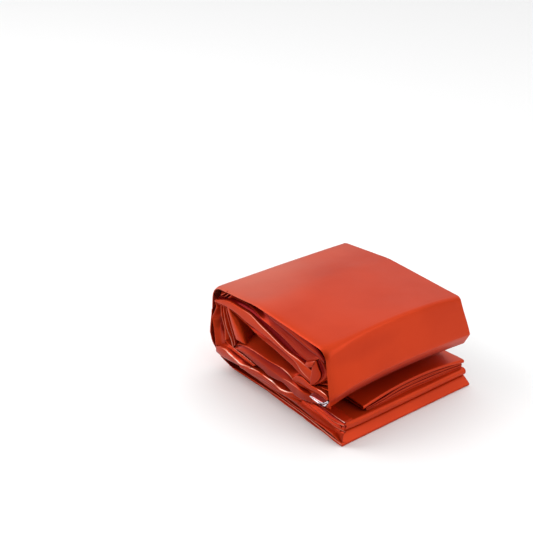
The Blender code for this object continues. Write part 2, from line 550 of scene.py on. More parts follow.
OUTER_WRAP = (
    Fold("floor, lift-off", 16, 0.4, 40.0, left=-41.6),
    Fold("back, foot", 45.0, 1.0, 9.0, left=-42.8, right=44),
    Fold("back, heel", 52.0, 6.6, 9.0, left=-45.4, right=44),
    Fold("back, low", 54.0, 14.5, 12.0, left=-48.6, right=43.6),
    wrapped("back, middle", 53.9, 22.0, 20.0, left=-50.8, right=43),
    wrapped("back, upper", 53.4, 36.0, 20.0, left=-49.0, right=42.4),
    wrapped("back, shoulder", 53.0, 50.2, 9.0, left=-48.6),
    wrapped("top, crest", 14, 53.6, 60.0, crown=1.4, twist_z=-0.8),
    wrapped("front ridge", -39.3, 50.2, 2.0, crown=3.4, right=40.6, round_left=5.0),
    wrapped("front lower ridge", -45.6, 30.4, 1.2, crown=1.4, dip=5.6, tuck=2.6, right=44.0),
    wrapped("front facet", -42.4, 23.8, 1.2, crown=1.8, dip=4.4, tuck=1.8, right=43.0, left=-50),
    wrapped("mouth, inner end", -30.0, 16.6, 7.0, crown=3.4, dip=0.2, left=-48),
    wrapped("under the wrap", 12, 15.6, 40.0, crown=1.6, left=-46.5),
    wrapped("second back, foot", 49.8, 14.6, 6.5, left=-46.5),
)


def inner(name: str, y: float, z: float, radius: float, **sizes: float) -> Fold:
    """A fold of the inner turns, whose left edges hide in the crumpled end."""
    sizes = {"left": -44.0, "right": 42.0, **sizes}
    return Fold(name, y, z, radius, **sizes)


INNER_TURNS = (
    inner("under the wrap", 12, 15.6, 40.0, crown=1.6),
    inner("second back, foot", 49.8, 14.6, 6.5),
    inner("second back, shoulder", 50.0, 48.4, 8.0),
    inner("second top, crest", 14, 51.2, 60.0, crown=1.2),
    inner("second ridge", -34.2, 44.6, 3.0, crown=3.4),
    inner("second front, low", -41.6, 29.6, 2.0, crown=1.0, dip=1.5, tuck=3.4),
    inner("second front, foot", -38.0, 25.4, 2.0, crown=1.6, dip=1.5, tuck=1.4),
    inner("second floor", -26, 19.2, 8.0, crown=2.6),
    inner("third back, foot", 46.3, 17.2, 5.0),
    inner("third back, shoulder", 46.2, 46.4, 6.0),
    inner("third top, crest", 22, 48.2, 30.0, crown=0.8),
    inner("third top, fall", -4, 45.0, 30.0, crown=1.6),
    inner("third nose, upper", -29.6, 38.8, 2.6, crown=2.0),
    inner("third nose, lower", -29.6, 31.6, 2.6, crown=2.0),
    inner("core leaf, rise", -2, 38.2, 20.0, crown=2.0),
    inner("core leaf, top", 22, 43.0, 20.0, crown=0.8),
    inner("first pleat, top", 42.4, 43.0, 1.6),
    inner("first pleat, foot", 41.6, 19.8, 0.9, left=-44),
    inner("second pleat, foot", 39.4, 19.8, 0.9, left=-43),
    inner("second pleat, top", 38.2, 39.4, 0.9, left=-43),
    inner("third pleat, top", 36.2, 39.4, 0.9, left=-43),
    inner("third pleat, foot", 33.4, 21.4, 2.2, left=-44),
    inner("core floor, front", -27, 23.8, 1.8, crown=1.2),
    inner("tail, bend", -27, 28.2, 1.8, crown=1.2, left=-44, right=38),
    inner("tail", 15, 33.0, 0.7, crown=1.6, left=-34, right=28),
)


@dataclass(frozen=True)
class PaintedLightPatch:
    """A soft patch of painted light on a strip: painted sheen where it is paler, painted shade
    where it is darker.

    Attributes:
        name: what it is.
        place: its middle.
        reach: how far it reaches along each axis.
        painted_light_level: its painted light in the middle, from -1 for painted shade to 1 for
            painted sheen.
    """

    name: str
    place: Triple
    reach: Triple
    painted_light_level: float

    def painted_light_at(self, spot: Vector) -> float:
        """The patch's share of the painted light at a place."""
        away = sum(((a - b) / c) ** 2 for a, b, c in zip(spot, self.place, self.reach))
        return self.painted_light_level * max(0.0, 1.0 - away) ** 2 * (1.0 + away)


# Painted sheen on the top where it mirrors the bright studio, and painted shade on the front ridge
# and the front facet.
WRAP_PATCHES = (
    PaintedLightPatch("painted sheen at the back left", (-42, 48, 52), (62, 52, 22), 0.2),
    PaintedLightPatch("painted sheen along the back", (10, 56, 50), (70, 34, 22), 0.13),
    PaintedLightPatch("front ridge", (-34, -41.5, 46), (34, 7, 7), -0.15),
    PaintedLightPatch("front facet", (-6, -42, 25), (62, 9, 5), -0.92),
)

# Painted shade under the wrap's overhang.
STACK_PATCHES = (
    PaintedLightPatch("under the wrap", (6, -32, 15.2), (36, 24, 4.5), -0.4),
)

SLOW_WAVE = 34.0  # length of the strip's slow undulation, in mm
FRILL_WAVE = 5.5  # length of the ripples at its ends, in mm
FRILL_STRETCH = 0.3  # how fast they change across the strip, next to along it
FRILL_SEED = 3.1  # sets their pattern apart
FRAY_WAVE = 9.0  # length of its edges' wander, in mm
FRAY_STRETCH = 0.2  # how fast it changes across the strip, next to along it
FRAY_SEED = 7.7  # sets its pattern apart
FRAY = 1.6  # how far the edges wander, for each mm of frill
FRILL_FALL = 8  # how suddenly the ripples set in towards the ends
CURL_FALL = 34  # how suddenly the left edge curls in
FINEST_TURN = 0.3  # the most that a corner turns from one station to the next, in radians
SHORTEST = 0.3  # the longest straight stretch that needs no stations of its own, in mm
BEND_SHARE = 0.49  # the most of a straight stretch that a bend at its end takes up
CLEARANCE = 0.02  # what stays free over the floor, in mm


@dataclass
class FilmStrip(FilmPiece):
    """A stretch of the wound strip.

    Attributes:
        name: the piece's name.
        folds: its corners, in order.
        spacing: the longest straight stretch between two stations, in mm.
        columns: number of faces across it.
        film: its thickness in mm.
        width: its width in metres, laid flat; not used.
        calm: height of its slow undulation in mm.
        frill: height of its ripples at the two ends in mm.
        ease: how many times its edges are evened out.
        curl: how far its left edge curls inwards, in mm.
        seed: which ripples it has.
        painted_light_level: its painted light all over; below zero it is painted shade.
        patches: where painted sheen and painted shade lie on it.
        plan: for each fold, the stations of the stretch before it and of its bend.
    """

    name: str
    folds: tuple[Fold, ...]
    spacing: float = 4.0
    columns: int = 40
    film: float = 0.5
    width: float = 0.091
    calm: float = 0.15
    frill: float = 0.3
    ease: int = 1
    curl: float = 0.0
    seed: float = 1.0
    painted_light_level: float = 0.0
    patches: tuple[PaintedLightPatch, ...] = ()
    plan: list[tuple[int, int]] = field(default_factory=list)

    def fill(self, sheet: bmesh.types.BMesh) -> float:
        """Makes the stretch's surface.

        Args:
            sheet: the mesh that it is made in.

        Returns:
            Its area in square metres.
        """
        self._make_plan()
        sections = [self._section(self._across(column)) for column in range(self.columns + 1)]
        along = len(sections[0]) - 1

        def place(share_along: float, share_across: float) -> Vector:
            """The place of one crossing."""
            row, column = round(share_along * along), round(share_across * self.columns)
            return self._place(sections[column], row, self._across(column))

        def painted_light(share_along: float, share_across: float) -> float:
            """The painted light of one crossing."""
            spot = sections[round(share_across * self.columns)][round(share_along * along)]
            return self.painted_light_level + sum(patch.painted_light_at(spot) for patch in self.patches)

        return add_grid(sheet, along, self.columns, place, painted_light)

    def _across(self, column: int) -> float:
        """The place of a column across the strip, crowded towards the ends."""
        return math.sin(math.pi / 2 * (2.0 * column / self.columns - 1.0))

    def _arc(self, corners: list[Vector], number: int, across: float) -> Arc:
        """Rounds one corner.

        Args:
            corners: the section's corners.
            number: which corner it is.
            across: the section's place across the strip.

        Returns:
            The arc that rounds it.
        """
        before, here, after = corners[number - 1 : number + 2]
        incoming, outgoing = (here - before).normalized(), (after - here).normalized()
        turn = math.atan2(
            incoming.x * outgoing.y - incoming.y * outgoing.x, incoming.dot(outgoing)
        )
        room = BEND_SHARE * min((here - before).length, (after - here).length)
        reach = min(self.folds[number].rounding(across) * math.tan(abs(turn) / 2), room)
        radius = reach / max(math.tan(abs(turn) / 2), TINY)
        start = here - incoming * reach
        side = math.copysign(1.0, turn)
        centre = start + Vector((-incoming.y, incoming.x)) * radius * side
        first = math.atan2(start.y - centre.y, start.x - centre.x)
        return Arc(start, centre, radius, first, turn)

    def _make_plan(self) -> None:
        """Settles how finely each straight stretch and each corner is divided."""
        corners = [fold.corner(0.0) for fold in self.folds]
        end = corners[0]
        for number in range(1, len(corners) - 1):
            arc = self._arc(corners, number, 0.0)
            stretch = (arc.start - end).length
            straight = math.ceil(stretch / self.spacing) if stretch > SHORTEST else 0
            bent = math.ceil(abs(arc.turn) / FINEST_TURN)
            curved = math.ceil(abs(arc.turn) * arc.radius / self.spacing)
            self.plan.append((straight, max(2, bent, curved)))
            end = arc.at(1.0)
        self.plan.append((math.ceil((corners[-1] - end).length / self.spacing), 0))

    def _section(self, across: float) -> list[Vector]:
        """Makes the strip's section at one place across its width.

        Args:
            across: the place, from -1 to +1.

        Returns:
            Its stations' places.
        """
        corners = [fold.corner(across) for fold in self.folds]
        edges = [fold.edge(across) for fold in self.folds]
        stations = [Vector((edges[0], *corners[0]))]
        for number, (straight, pieces) in enumerate(self.plan[:-1], start=1):
            arc = self._arc(corners, number, across)
            origin, start = stations[-1].copy(), Vector((edges[number], *arc.start))
            stations += [origin.lerp(start, step / straight) for step in range(1, straight + 1)]
            stations += [
                Vector((edges[number], *arc.at(step / pieces))) for step in range(1, pieces + 1)
            ]
        origin, end = stations[-1].copy(), Vector((edges[-1], *corners[-1]))
        straight = self.plan[-1][0]
        stations += [origin.lerp(end, step / straight) for step in range(1, straight + 1)]
        for _ in range(self.ease):
            even = [
                (here.x + 2.0 * middle.x + there.x) / 4.0
                for here, middle, there in zip(stations, stations[1:], stations[2:])
            ]
            for station, x in zip(stations[1:], even):
                station.x = x
        return stations

    def _place(self, section: list[Vector], row: int, across: float) -> Vector:
        """Places one crossing, with the film's undulation.

        Args:
            section: the section's stations.
            row: which station it is.
            across: the section's place across the strip.

        Returns:
            The place in the packet's frame.
        """
        x, y, z = section[row]
        tangent = section[min(len(section) - 1, row + 1)] - section[max(0, row - 1)]
        normal = Vector((0.0, -tangent.z, tangent.y)).normalized()
        frill = self.frill * abs(across) ** FRILL_FALL
        lift = self.calm * wave(x, y, z, SLOW_WAVE, self.seed)
        lift += frill * wave(FRILL_STRETCH * x, y, z, FRILL_WAVE, self.seed + FRILL_SEED)
        lift += self.curl * max(0.0, -across) ** CURL_FALL
        x += frill * FRAY * wave(FRAY_STRETCH * x, y, z, FRAY_WAVE, self.seed + FRAY_SEED)
        spot = Vector((x, y, z)) + normal * lift
        return to_frame(spot.x, spot.y, max(spot.z, CLEARANCE + self.film / 2))


# ------------------------------------------------------------------------- crumpled ends


def curve_through(rows: tuple[tuple[float, ...], ...], share: float) -> list[float]:
    """Reads a smooth curve through rows of numbers.

    Args:
        rows: the rows that the curve passes through, evenly spaced along it.
        share: how far along, from 0 to 1.

    Returns:
        The numbers at that place.
    """
    place = share * (len(rows) - 1)
    number = min(int(place), len(rows) - 2)
    step = place - number
    first, last = rows[max(0, number - 1)], rows[min(len(rows) - 1, number + 2)]
    result = []
    for before, here, there, after in zip(first, rows[number], rows[number + 1], last):
        slope_here, slope_there = (there - before) / 2, (after - here) / 2
        a = 2 * here - 2 * there + slope_here + slope_there
        b = 3 * there - 3 * here - 2 * slope_here - slope_there
        result.append(((a * step + b) * step + slope_here) * step + here)
    return result


def value_at(values: tuple[float, ...], share: float) -> float:
    """Reads evenly spaced values.

    Args:
        values: the values.
        share: how far along them, from 0 to 1.

    Returns:
        The value at that place.
    """
    place = share * (len(values) - 1)
    number = min(int(place), len(values) - 2)
    step = place - number
    return values[number] * (1.0 - step) + values[number + 1] * step


SHELF_RISE = 0.12  # how far the bend above a crease lies higher, for each mm of shelf
TUCK_FALL = 0.3  # how far the bend below a crease lies lower, for each mm of tuck


@dataclass(frozen=True)
class Crease:
    """One crease of a crumpled film.

    Attributes:
        name: what it is.
        points: places evenly spaced along it.
        soft: the share of the panels beside it that its bend rounds off, up to 0.5.
        shelf: how far the film steps in just above it, in mm.
        tuck: how far the film is tucked in just below it, in mm.
        painted_light: its ridge's painted highlight at evenly spaced places: 1 is pale, 2 a bright
            painted glint.
        painted_darkening: how strong the painted shade beside it is, from 0 to 1, at evenly spaced
            places.
    """

    name: str
    points: tuple[Triple, ...]
    soft: float = 0.14
    shelf: float = 0.0
    tuck: float = 0.0
    painted_light: tuple[float, ...] = (0.0, 0.0)
    painted_darkening: tuple[float, ...] = (0.0, 0.0)

    def bends(self) -> list["Crease"]:
        """Gives the crease with the hidden bends above and below it.

        Returns:
            One to three creases, in the film's order.
        """
        found = [self]
        if self.shelf:
            found.insert(0, self._hidden(self.shelf, SHELF_RISE * self.shelf))
        if self.tuck:
            found.append(self._hidden(self.tuck, -TUCK_FALL * self.tuck))
        return found

    def _hidden(self, inwards: float, up: float) -> "Crease":
        """A bend that runs beside the crease, further inside, in full painted shade."""
        points = tuple((x + inwards, y, z + up) for x, y, z in self.points)
        return Crease(f"{self.name}, inside", points, self.soft, painted_darkening=(1.0, 1.0))


NET_STEP = 0.8  # the shortest step along a creased film, in mm
FEWEST_STEPS = 16  # the fewest steps along it
BULGE_WAVE = 13.0  # length of the bulges' swing, in mm
BULGE_MEAN = 0.6  # how far a panel stands out on the whole, as a share of its bulge
BULGE_SWING = 0.8  # how far it swings about that
BULGE_RISE = 0.3  # how far it rises, for each mm that it stands out
RIPPLE_WAVE = 8.0  # length of a creased film's ripples, in mm
HIGHLIGHT_COVER = 3.0  # how strongly a painted highlight covers the painted shade
LOWEST = 0.3  # the lowest that a creased film lies, in mm


@dataclass(frozen=True)
class CreasedFilm:
    """A film folded along creases, from its hidden root over its edges to its other root.

    Attributes:
        name: what it is.
        creases: its creases, in order.
        bulge: how far the panels between them stand out, in mm.
        ripple: height of its ripples in mm.
        seed: which ripples it has.
        steps: number of faces across each panel.
        rub: how far from a crease its painted highlight reaches, in mm.
        depth: how far from a crease its painted shade reaches, in mm.
        tone: how strong its painted shade is all over, from 0 to 1.
    """

    name: str
    creases: tuple[Crease, ...]
    bulge: float = 0.25
    ripple: float = 0.1
    seed: float = 1.0
    steps: int = 10
    rub: float = 0.4
    depth: float = 3.0
    tone: float = 0.25

    def add_to(self, sheet: bmesh.types.BMesh) -> float:
        """Adds the film's surface to a mesh.

        Args:
            sheet: the mesh that it is added to.

        Returns:
            Its area in square metres.
        """
        bends = [bend for crease in self.creases for bend in crease.bends()]
        middle = self.creases[len(self.creases) // 2].points
        length = sum(math.dist(here, there) for here, there in zip(middle, middle[1:]))
        along, across = max(FEWEST_STEPS, int(length / NET_STEP)), self.steps * (len(bends) - 1)
        rows = [
            [Vector(curve_through(bend.points, row / along)) for bend in bends]
            for row in range(along + 1)
        ]

        def place(share_along: float, share_across: float) -> Vector:
            """The place of one crossing."""
            number, share = self._panel(share_across, bends)
            return self._place(rows[round(share_along * along)], bends, number, share)

        def painted_light(share_along: float, share_across: float) -> float:
            """Finds the painted light of one crossing.

            Args:
                share_along: its place along the film, from 0 to 1.
                share_across: its place across the film, from 0 to 1.

            Returns:
                The painted light.
            """
            number, share = self._panel(share_across, bends)
            row = rows[round(share_along * along)]
            width = (row[number] - row[number + 1]).length
            gaps = (bends[number], share * width), (bends[number + 1], (1.0 - share) * width)
            return self._painted_light_here(gaps, width, share_along)

        return add_grid(sheet, along, across, place, painted_light)

    def _panel(self, across: float, bends: list[Crease]) -> tuple[int, float]:
        """Finds a panel.

        Args:
            across: a share of the film's breadth, from 0 to 1.
            bends: the bends between its panels.

        Returns:
            Which panel is there, and the share across that panel.
        """
        panels = len(bends) - 1
        number = min(int(across * panels + TINY), panels - 1)
        return number, 0.5 - 0.5 * math.cos(math.pi * (across * panels - number))

    def _painted_light_here(
        self, gaps: tuple[tuple[Crease, float], ...], width: float, share: float
    ) -> float:
        """Finds the film's painted light at one crossing.

        Args:
            gaps: the creases beside it, and how far away they are, in mm.
            width: the width of its panel in mm.
            share: its place along the film, from 0 to 1.

        Returns:
            The painted light, from -1 for full painted shade to 2 for a bright painted glint.
        """
        rubbed = painted_darkening = 0.0
        for bend, gap in gaps:
            near = max(0.0, 1.0 - gap / self.rub)
            close = max(0.0, 1.0 - gap / min(width, self.depth))
            rubbed = max(rubbed, value_at(bend.painted_light, share) * near)
            painted_darkening += value_at(bend.painted_darkening, share) * close
        return rubbed - (1.0 - min(1.0, HIGHLIGHT_COVER * rubbed)) * max(self.tone, painted_darkening)

    def _place(self, row: list[Vector], bends: list[Crease], number: int, share: float) -> Vector:
        """Places one crossing of the film's net.

        Args:
            row: the bends' places there.
            bends: the bends.
            number: which panel it is on.
            share: how far across that panel, from 0 to 1.

        Returns:
            The place in the packet's frame.
        """
        spot = self._rounded(row, bends, number, share)
        slope = abs(math.sin(math.pi * share))
        swing = BULGE_SWING * wave(*spot, BULGE_WAVE, self.seed + number)
        stand = self.bulge * slope * (BULGE_MEAN + swing)
        stand += self.ripple * wave(spot.x, 0.5 * spot.y, 1.3 * spot.z, RIPPLE_WAVE, self.seed)
        spot.x -= stand
        spot.z = max(spot.z + BULGE_RISE * stand, LOWEST)
        return to_frame(*spot)

    def _rounded(
        self, row: list[Vector], bends: list[Crease], number: int, share: float
    ) -> Vector:
        """Finds a place on one panel, with the bends at its two creases rounded off.

        Args:
            row: the bends' places there.
            bends: the bends.
            number: which panel it is on.
            share: how far across that panel, from 0 to 1.

        Returns:
            The place.
        """
        here, there = row[number], row[number + 1]
        first, last = bends[number].soft, bends[number + 1].soft
        if share < first and number > 0:
            before = row[number - 1].lerp(here, 1.0 - first)
            after, turn, middle = here.lerp(there, first), 0.5 + 0.5 * share / first, here
        elif share > 1.0 - last and number + 2 < len(row):
            before = here.lerp(there, 1.0 - last)
            after = there.lerp(row[number + 2], last)
            turn, middle = 0.5 * (share - 1.0 + last) / last, there
        else:
            return here.lerp(there, share)
        return before.lerp(middle, turn).lerp(middle.lerp(after, turn), turn)


def creased(name: str, *creases: Crease, **look: float) -> CreasedFilm:
    """A creased film from its creases, in order, and its look."""
    return CreasedFilm(name, creases, **look)


@dataclass
class CrumpledEnd(FilmPiece):
    """All the creased films of one end.

    Attributes:
        name: the piece's name.
        films: its films.
        film: their thickness in mm.
        width: a width in metres for their area; not used.
    """

    name: str
    films: tuple[CreasedFilm, ...]
    film: float = 0.16
    width: float = 0.06

    def fill(self, sheet: bmesh.types.BMesh) -> float:
        """Adds every film's surface to the mesh, and gives their area in square metres."""
        return sum(part.add_to(sheet) for part in self.films)


# In these tables the creases carry painted highlights on their ridges, strongest as painted
# glints, and painted shade in valleys, tucks and recesses; most films also carry some painted
# shade all over.
EDGE_FILM = creased(
    "film under the wrap's edge",
    Crease("above", ((-46, 10, 51.9), (-49, 2, 52.2), (-49.2, -6, 52.6), (-49.2, -13, 51.8),
        (-49.2, -20, 50.5), (-49.2, -27, 49.3), (-49.2, -32, 47.6), (-49.2, -37, 44.6)),
        painted_darkening=(1, 1)),
    Crease("ridge", ((-47, 10, 51.3), (-49.4, 2, 51.2), (-49.9, -6, 50.7), (-49.9, -13, 49.4),
        (-49.9, -20, 48), (-49.9, -27, 46.6), (-49.8, -32, 45.8), (-49.8, -37, 43.4)),
        painted_light=(0, 0, 0.1, 0.15, 0), painted_darkening=(1, 0.6, 0.5, 0.5, 0.8)),
    Crease("edge", ((-47, 10, 50.6), (-49.4, 2, 49.9), (-49.8, -6, 49), (-49.8, -13, 47.7),
        (-49.8, -20, 46.3), (-49.8, -27, 45), (-49.6, -32, 44.4), (-49.4, -37, 42.2)), tuck=3,
        painted_darkening=(0.8, 0.8)),
    seed=1, tone=0.5,
)

UPPER_LEAVES = creased(
    "leaves under the wrap's edge",
    Crease("gap", ((-43, 47, 46), (-43, 38, 49.4), (-43, 28, 51), (-43, 19, 51),
        (-44.5, 11.6, 50.2), (-46, 3.7, 49.4), (-47, -3.8, 48.6), (-47.4, -10.7, 47.7),
        (-47.6, -17.4, 46.4), (-47.6, -25, 45.3), (-47.6, -33, 44.6)), painted_darkening=(1, 1, 1, 0.9)),
    Crease("face", ((-44.6, 48, 44.6), (-44.6, 38, 48), (-44.6, 28, 49.4), (-45, 19, 49.1),
        (-46.4, 11.6, 48), (-47.8, 3.7, 47), (-48.4, -3.8, 46), (-48.6, -10.7, 44.4),
        (-48.8, -17.4, 42.8), (-48.8, -25, 41.4), (-48.4, -33, 43.8)), soft=0.4,
        painted_darkening=(1, 1, 1, 0.8, 0.7, 0.6, 0.6, 0.6)),
    Crease("second leaf", ((-47.2, 49, 44.2), (-47.2, 38, 47.6), (-47.4, 28, 49.1),
        (-47.8, 19, 48.7), (-48.6, 11.6, 46.6), (-48.8, 3.7, 45.2), (-48.8, -3.8, 43.6),
        (-48.8, -10.7, 41.5), (-48.8, -17.4, 39.2), (-48.9, -23.4, 38), (-48.9, -28, 39.7),
        (-48.8, -33, 43.2)), tuck=0.9, painted_light=(0, 0, 0.1, 0.3, 0.35, 0.35, 0.3, 0.1),
        painted_darkening=(0.6, 0.4, 0.35, 0.4, 0.4)),
    Crease("bright leaf", ((-50.4, 48, 43.3), (-50.6, 37, 47), (-50.6, 27.2, 47.1),
        (-50.6, 18.1, 46.7), (-50.6, 10.7, 44.3), (-50.6, 3.3, 42.2), (-50.6, -3.9, 39.9),
        (-50.6, -11.2, 38), (-50.6, -19.2, 37.2), (-50, -29.4, 34.6)), soft=0.1, shelf=1.9,
        painted_light=(0, 0, 0.1, 0.6, 1, 0.9, 1, 0.7, 0)),
    Crease("third leaf", ((-50.3, 48.2, 42.4), (-50.5, 38.3, 43.4), (-50.5, 29.6, 42.9),
        (-50.5, 21.8, 41.3), (-50.5, 13.5, 40.3), (-50.5, 5.6, 39.3), (-50.5, -2.1, 38),
        (-50.5, -9.5, 36.7), (-50.5, -16.7, 35.2), (-50.5, -22.1, 31.9), (-50, -30, 28.9)),
        soft=0.1, painted_light=(0.1, 0, 0, 0, 0, 0, 0.1, 0.8, 0), painted_darkening=(0.1, 0.2, 0.3)),
    Crease("behind the third", ((-49.6, 48, 42), (-48, 38.3, 42.2), (-48, 29.6, 41.8),
        (-48, 21.8, 40.2), (-48, 13.5, 39), (-48.2, 5.6, 38.2), (-49, -2.1, 37),
        (-49.6, -9.5, 35.8), (-50, -16.7, 34.4), (-50.2, -22.1, 31.2), (-49.9, -30, 28.4)),
        painted_darkening=(0.2, 0.9, 1, 1, 0.9, 0.8, 0.6, 0.5)),
    Crease("fourth leaf", ((-49.6, 46, 41.4), (-49.9, 35, 42.1), (-49.9, 27.5, 40.6),
        (-49.9, 20.4, 39), (-49.9, 13.8, 36.8), (-49.9, 6.8, 35.4), (-50, -0.6, 34.4),
        (-50.1, -7.4, 32.9), (-50.2, -14.1, 31.6), (-50.2, -20.4, 29.7), (-49.9, -29.4, 27.6)),
        soft=0.12, painted_light=(0, 0.15, 0.2, 0.2, 0, 0), painted_darkening=(0.5, 0.3, 0.3)),
    Crease("cavity's roof", ((-42, 46, 41.6), (-36, 35, 43), (-32, 27.5, 42), (-32, 20.4, 41),
        (-33, 13.8, 39.5), (-34, 6.8, 38.5), (-35, -0.6, 37.5), (-37, -7.4, 36),
        (-39, -14.1, 34.4), (-42, -20.4, 32), (-46, -27, 29)), painted_darkening=(1, 1)),
    bulge=0.15, ripple=0.08, seed=2, rub=0.5, depth=9, tone=0.05,
)

CORE_FLOOR = creased(
    "floor of the core and the lip before it",
    Crease("far wall", ((-26, 36, 40), (-26, 30, 42), (-27, 24, 42), (-30, 17, 41), (-32, 9, 39.5),
        (-33, 3, 38), (-34, -1, 37.5), (-35, -7, 36), (-38, -12, 34), (-42, -20, 32),
        (-44, -25, 29), (-46, -31, 28)), painted_darkening=(1, 1, 1, 0.8, 0.6, 0.6)),
    Crease("foot of the wall", ((-38, 36, 27), (-38, 31, 28.6), (-39, 25.5, 30.4), (-41, 17.5, 30),
        (-41, 9.3, 29.5), (-41, 3, 29), (-42, -1, 29), (-43, -7, 28.6), (-44, -12, 27.8),
        (-46, -18, 26.8), (-47, -24, 26), (-48, -30, 25)), soft=0.4,
        painted_darkening=(0.9, 0.5, 0.4, 0.5, 0.6, 0.7, 0.8, 0.8)),
    Crease("lip", ((-48.6, 33.9, 21.6), (-49.6, 27.1, 25.1), (-50, 20.9, 26.3), (-50, 15.1, 26.4),
        (-50, 9.6, 26.2), (-50, 4.2, 26), (-50, -1.4, 26.2), (-50, -6.8, 26.2), (-50, -11.3, 25.2),
        (-49.6, -15.2, 23.2), (-48.6, -20.4, 21.6), (-47, -27, 21)), tuck=1,
        painted_light=(0, 0.2, 0.3, 0.3, 0.2, 0.2, 0.3, 1, 0.4, 0, 0), painted_darkening=(0.5, 0.4, 0.3, 0.3)),
    Crease("ridge in the band", ((-49.6, 32.2, 21.3), (-50, 25.6, 23.2), (-50.3, 19.6, 23.4),
        (-50.3, 14, 23.2), (-50.3, 8.6, 22.7), (-50.3, 3.3, 22.3), (-50.3, -1.7, 21.8),
        (-50.3, -7, 21.4), (-50.3, -12.5, 21.5), (-50.3, -17.6, 21.2), (-50.3, -23.2, 20.7),
        (-47.2, -29.8, 19.6)), soft=0.12, painted_light=(0, 0, 0, 0, 0.1, 0.1, 0.9, 0.2, 0.1),
        painted_darkening=(0.2, 0.3, 0.5, 0.5, 0.4, 0.3)),
    Crease("band's edge", ((-49.6, 32, 20.8), (-49.8, 25.7, 21.3), (-49.8, 20.3, 20.4),
        (-49.8, 15.1, 19.4), (-49.7, 9.8, 18.6), (-49.7, 5.1, 17.4), (-49.7, -0.7, 17.6),
        (-49.6, -6.7, 18.2), (-49.4, -11, 16.8), (-49.2, -14.9, 15), (-49, -21, 15),
        (-46.8, -28.6, 15.2)), tuck=3.6, painted_darkening=(0.7, 0.7, 0.6, 0.6)),
    bulge=0.12, seed=5, depth=7,
)

FRONT_BULGE = creased(
    "bulge before the core",
    Crease("root", ((-46, -13, 24), (-46, -17, 27), (-46, -21, 27.6), (-46, -25, 27.2),
        (-46, -29, 26.8), (-46.5, -33, 27), (-47, -37, 27), (-48, -40, 26.6), (-48.6, -42, 24.4))),
    Crease("top", ((-49.4, -13.3, 23.1), (-49.9, -17.1, 27), (-50.2, -21.7, 28.3),
        (-50.4, -25.3, 27.8), (-50.6, -29, 27.2), (-50.8, -33.2, 27.6), (-50.8, -37.1, 27.6),
        (-50.8, -40.3, 26.8), (-50.6, -41.6, 25.4)), painted_light=(0, 0.1, 0.1, 0, 0, 0.2, 1.5, 0.3, 0)),
    Crease("foot", ((-49.4, -15, 22.9), (-49.9, -18.8, 24.1), (-50.2, -22.4, 24.6),
        (-50.4, -25.7, 24.5), (-50.5, -29.1, 24.7), (-50.6, -32.6, 25.1), (-50.6, -35.5, 24.8),
        (-50.4, -38.2, 24.4), (-50.4, -39.8, 23.6)), tuck=4),
    bulge=0.35, seed=8,
)

UNDER_BULGE = creased(
    "shaded film under the bulge",
    Crease("above", ((-45.5, -14, 25), (-45.5, -22, 26), (-45.5, -30, 26.4), (-45.5, -40, 26))),
    Crease("face", ((-46.6, -14, 22), (-46.6, -22, 22.6), (-46.6, -30, 22.8), (-46.6, -40, 22)),
        soft=0.4, painted_darkening=(0.8, 0.8)),
    Crease("below", ((-48, -14, 19), (-48, -22, 19.4), (-48, -30, 19), (-47.6, -40, 18))),
    seed=9,
)

SPINE_PANEL = creased(
    "panel beside the back",
    Crease("behind", ((-45, 51.5, 43), (-45, 51.6, 38), (-45, 53, 33), (-45, 53, 29),
        (-45, 52.6, 25), (-45, 52.2, 21), (-45, 51.6, 17), (-44.5, 50, 13))),
    Crease("edge", ((-50.2, 48.4, 42), (-50.1, 47.7, 39.1), (-50, 49.8, 35.2), (-49.8, 52.1, 31.3),
        (-49.6, 51.7, 28.1), (-49.5, 50.9, 25.1), (-49.4, 50.6, 21.9), (-49.3, 50.4, 18.5),
        (-49.2, 50.2, 15.2)), painted_light=(0.2, 0.25, 0.3, 0.1, 0.25, 0.2, 0.2)),
    Crease("hollow", ((-44, 46.8, 41.6), (-43.6, 46.6, 38), (-44, 47.6, 34.6), (-45.6, 49, 31.2),
        (-46.4, 48.6, 28), (-47, 48, 24.8), (-47.2, 47.8, 21.6), (-47.2, 47.4, 18.4),
        (-47, 47, 15)), soft=0.35, painted_darkening=(1, 1, 0.9, 0.8, 0.4, 0.2, 0.3, 0.5)),
    Crease("fold", ((-46, 46, 41.4), (-46, 45.8, 38), (-46, 46, 34.6), (-46.6, 46, 31.4),
        (-47.6, 46.6, 28.2), (-47.8, 45.2, 25), (-47.4, 44.4, 21.6), (-47, 44, 18.4),
        (-46.6, 44, 15)), soft=0.2, painted_darkening=(1, 1, 0.9, 0.8, 0.9, 0.5, 0.5, 0.8)),
    Crease("root", ((-43, 44.8, 41), (-42, 44.6, 37), (-42, 44.4, 33), (-42, 43.6, 29),
        (-43, 43, 25), (-44, 42.8, 21), (-44, 42.6, 17))),
    bulge=0.2, seed=11,
)

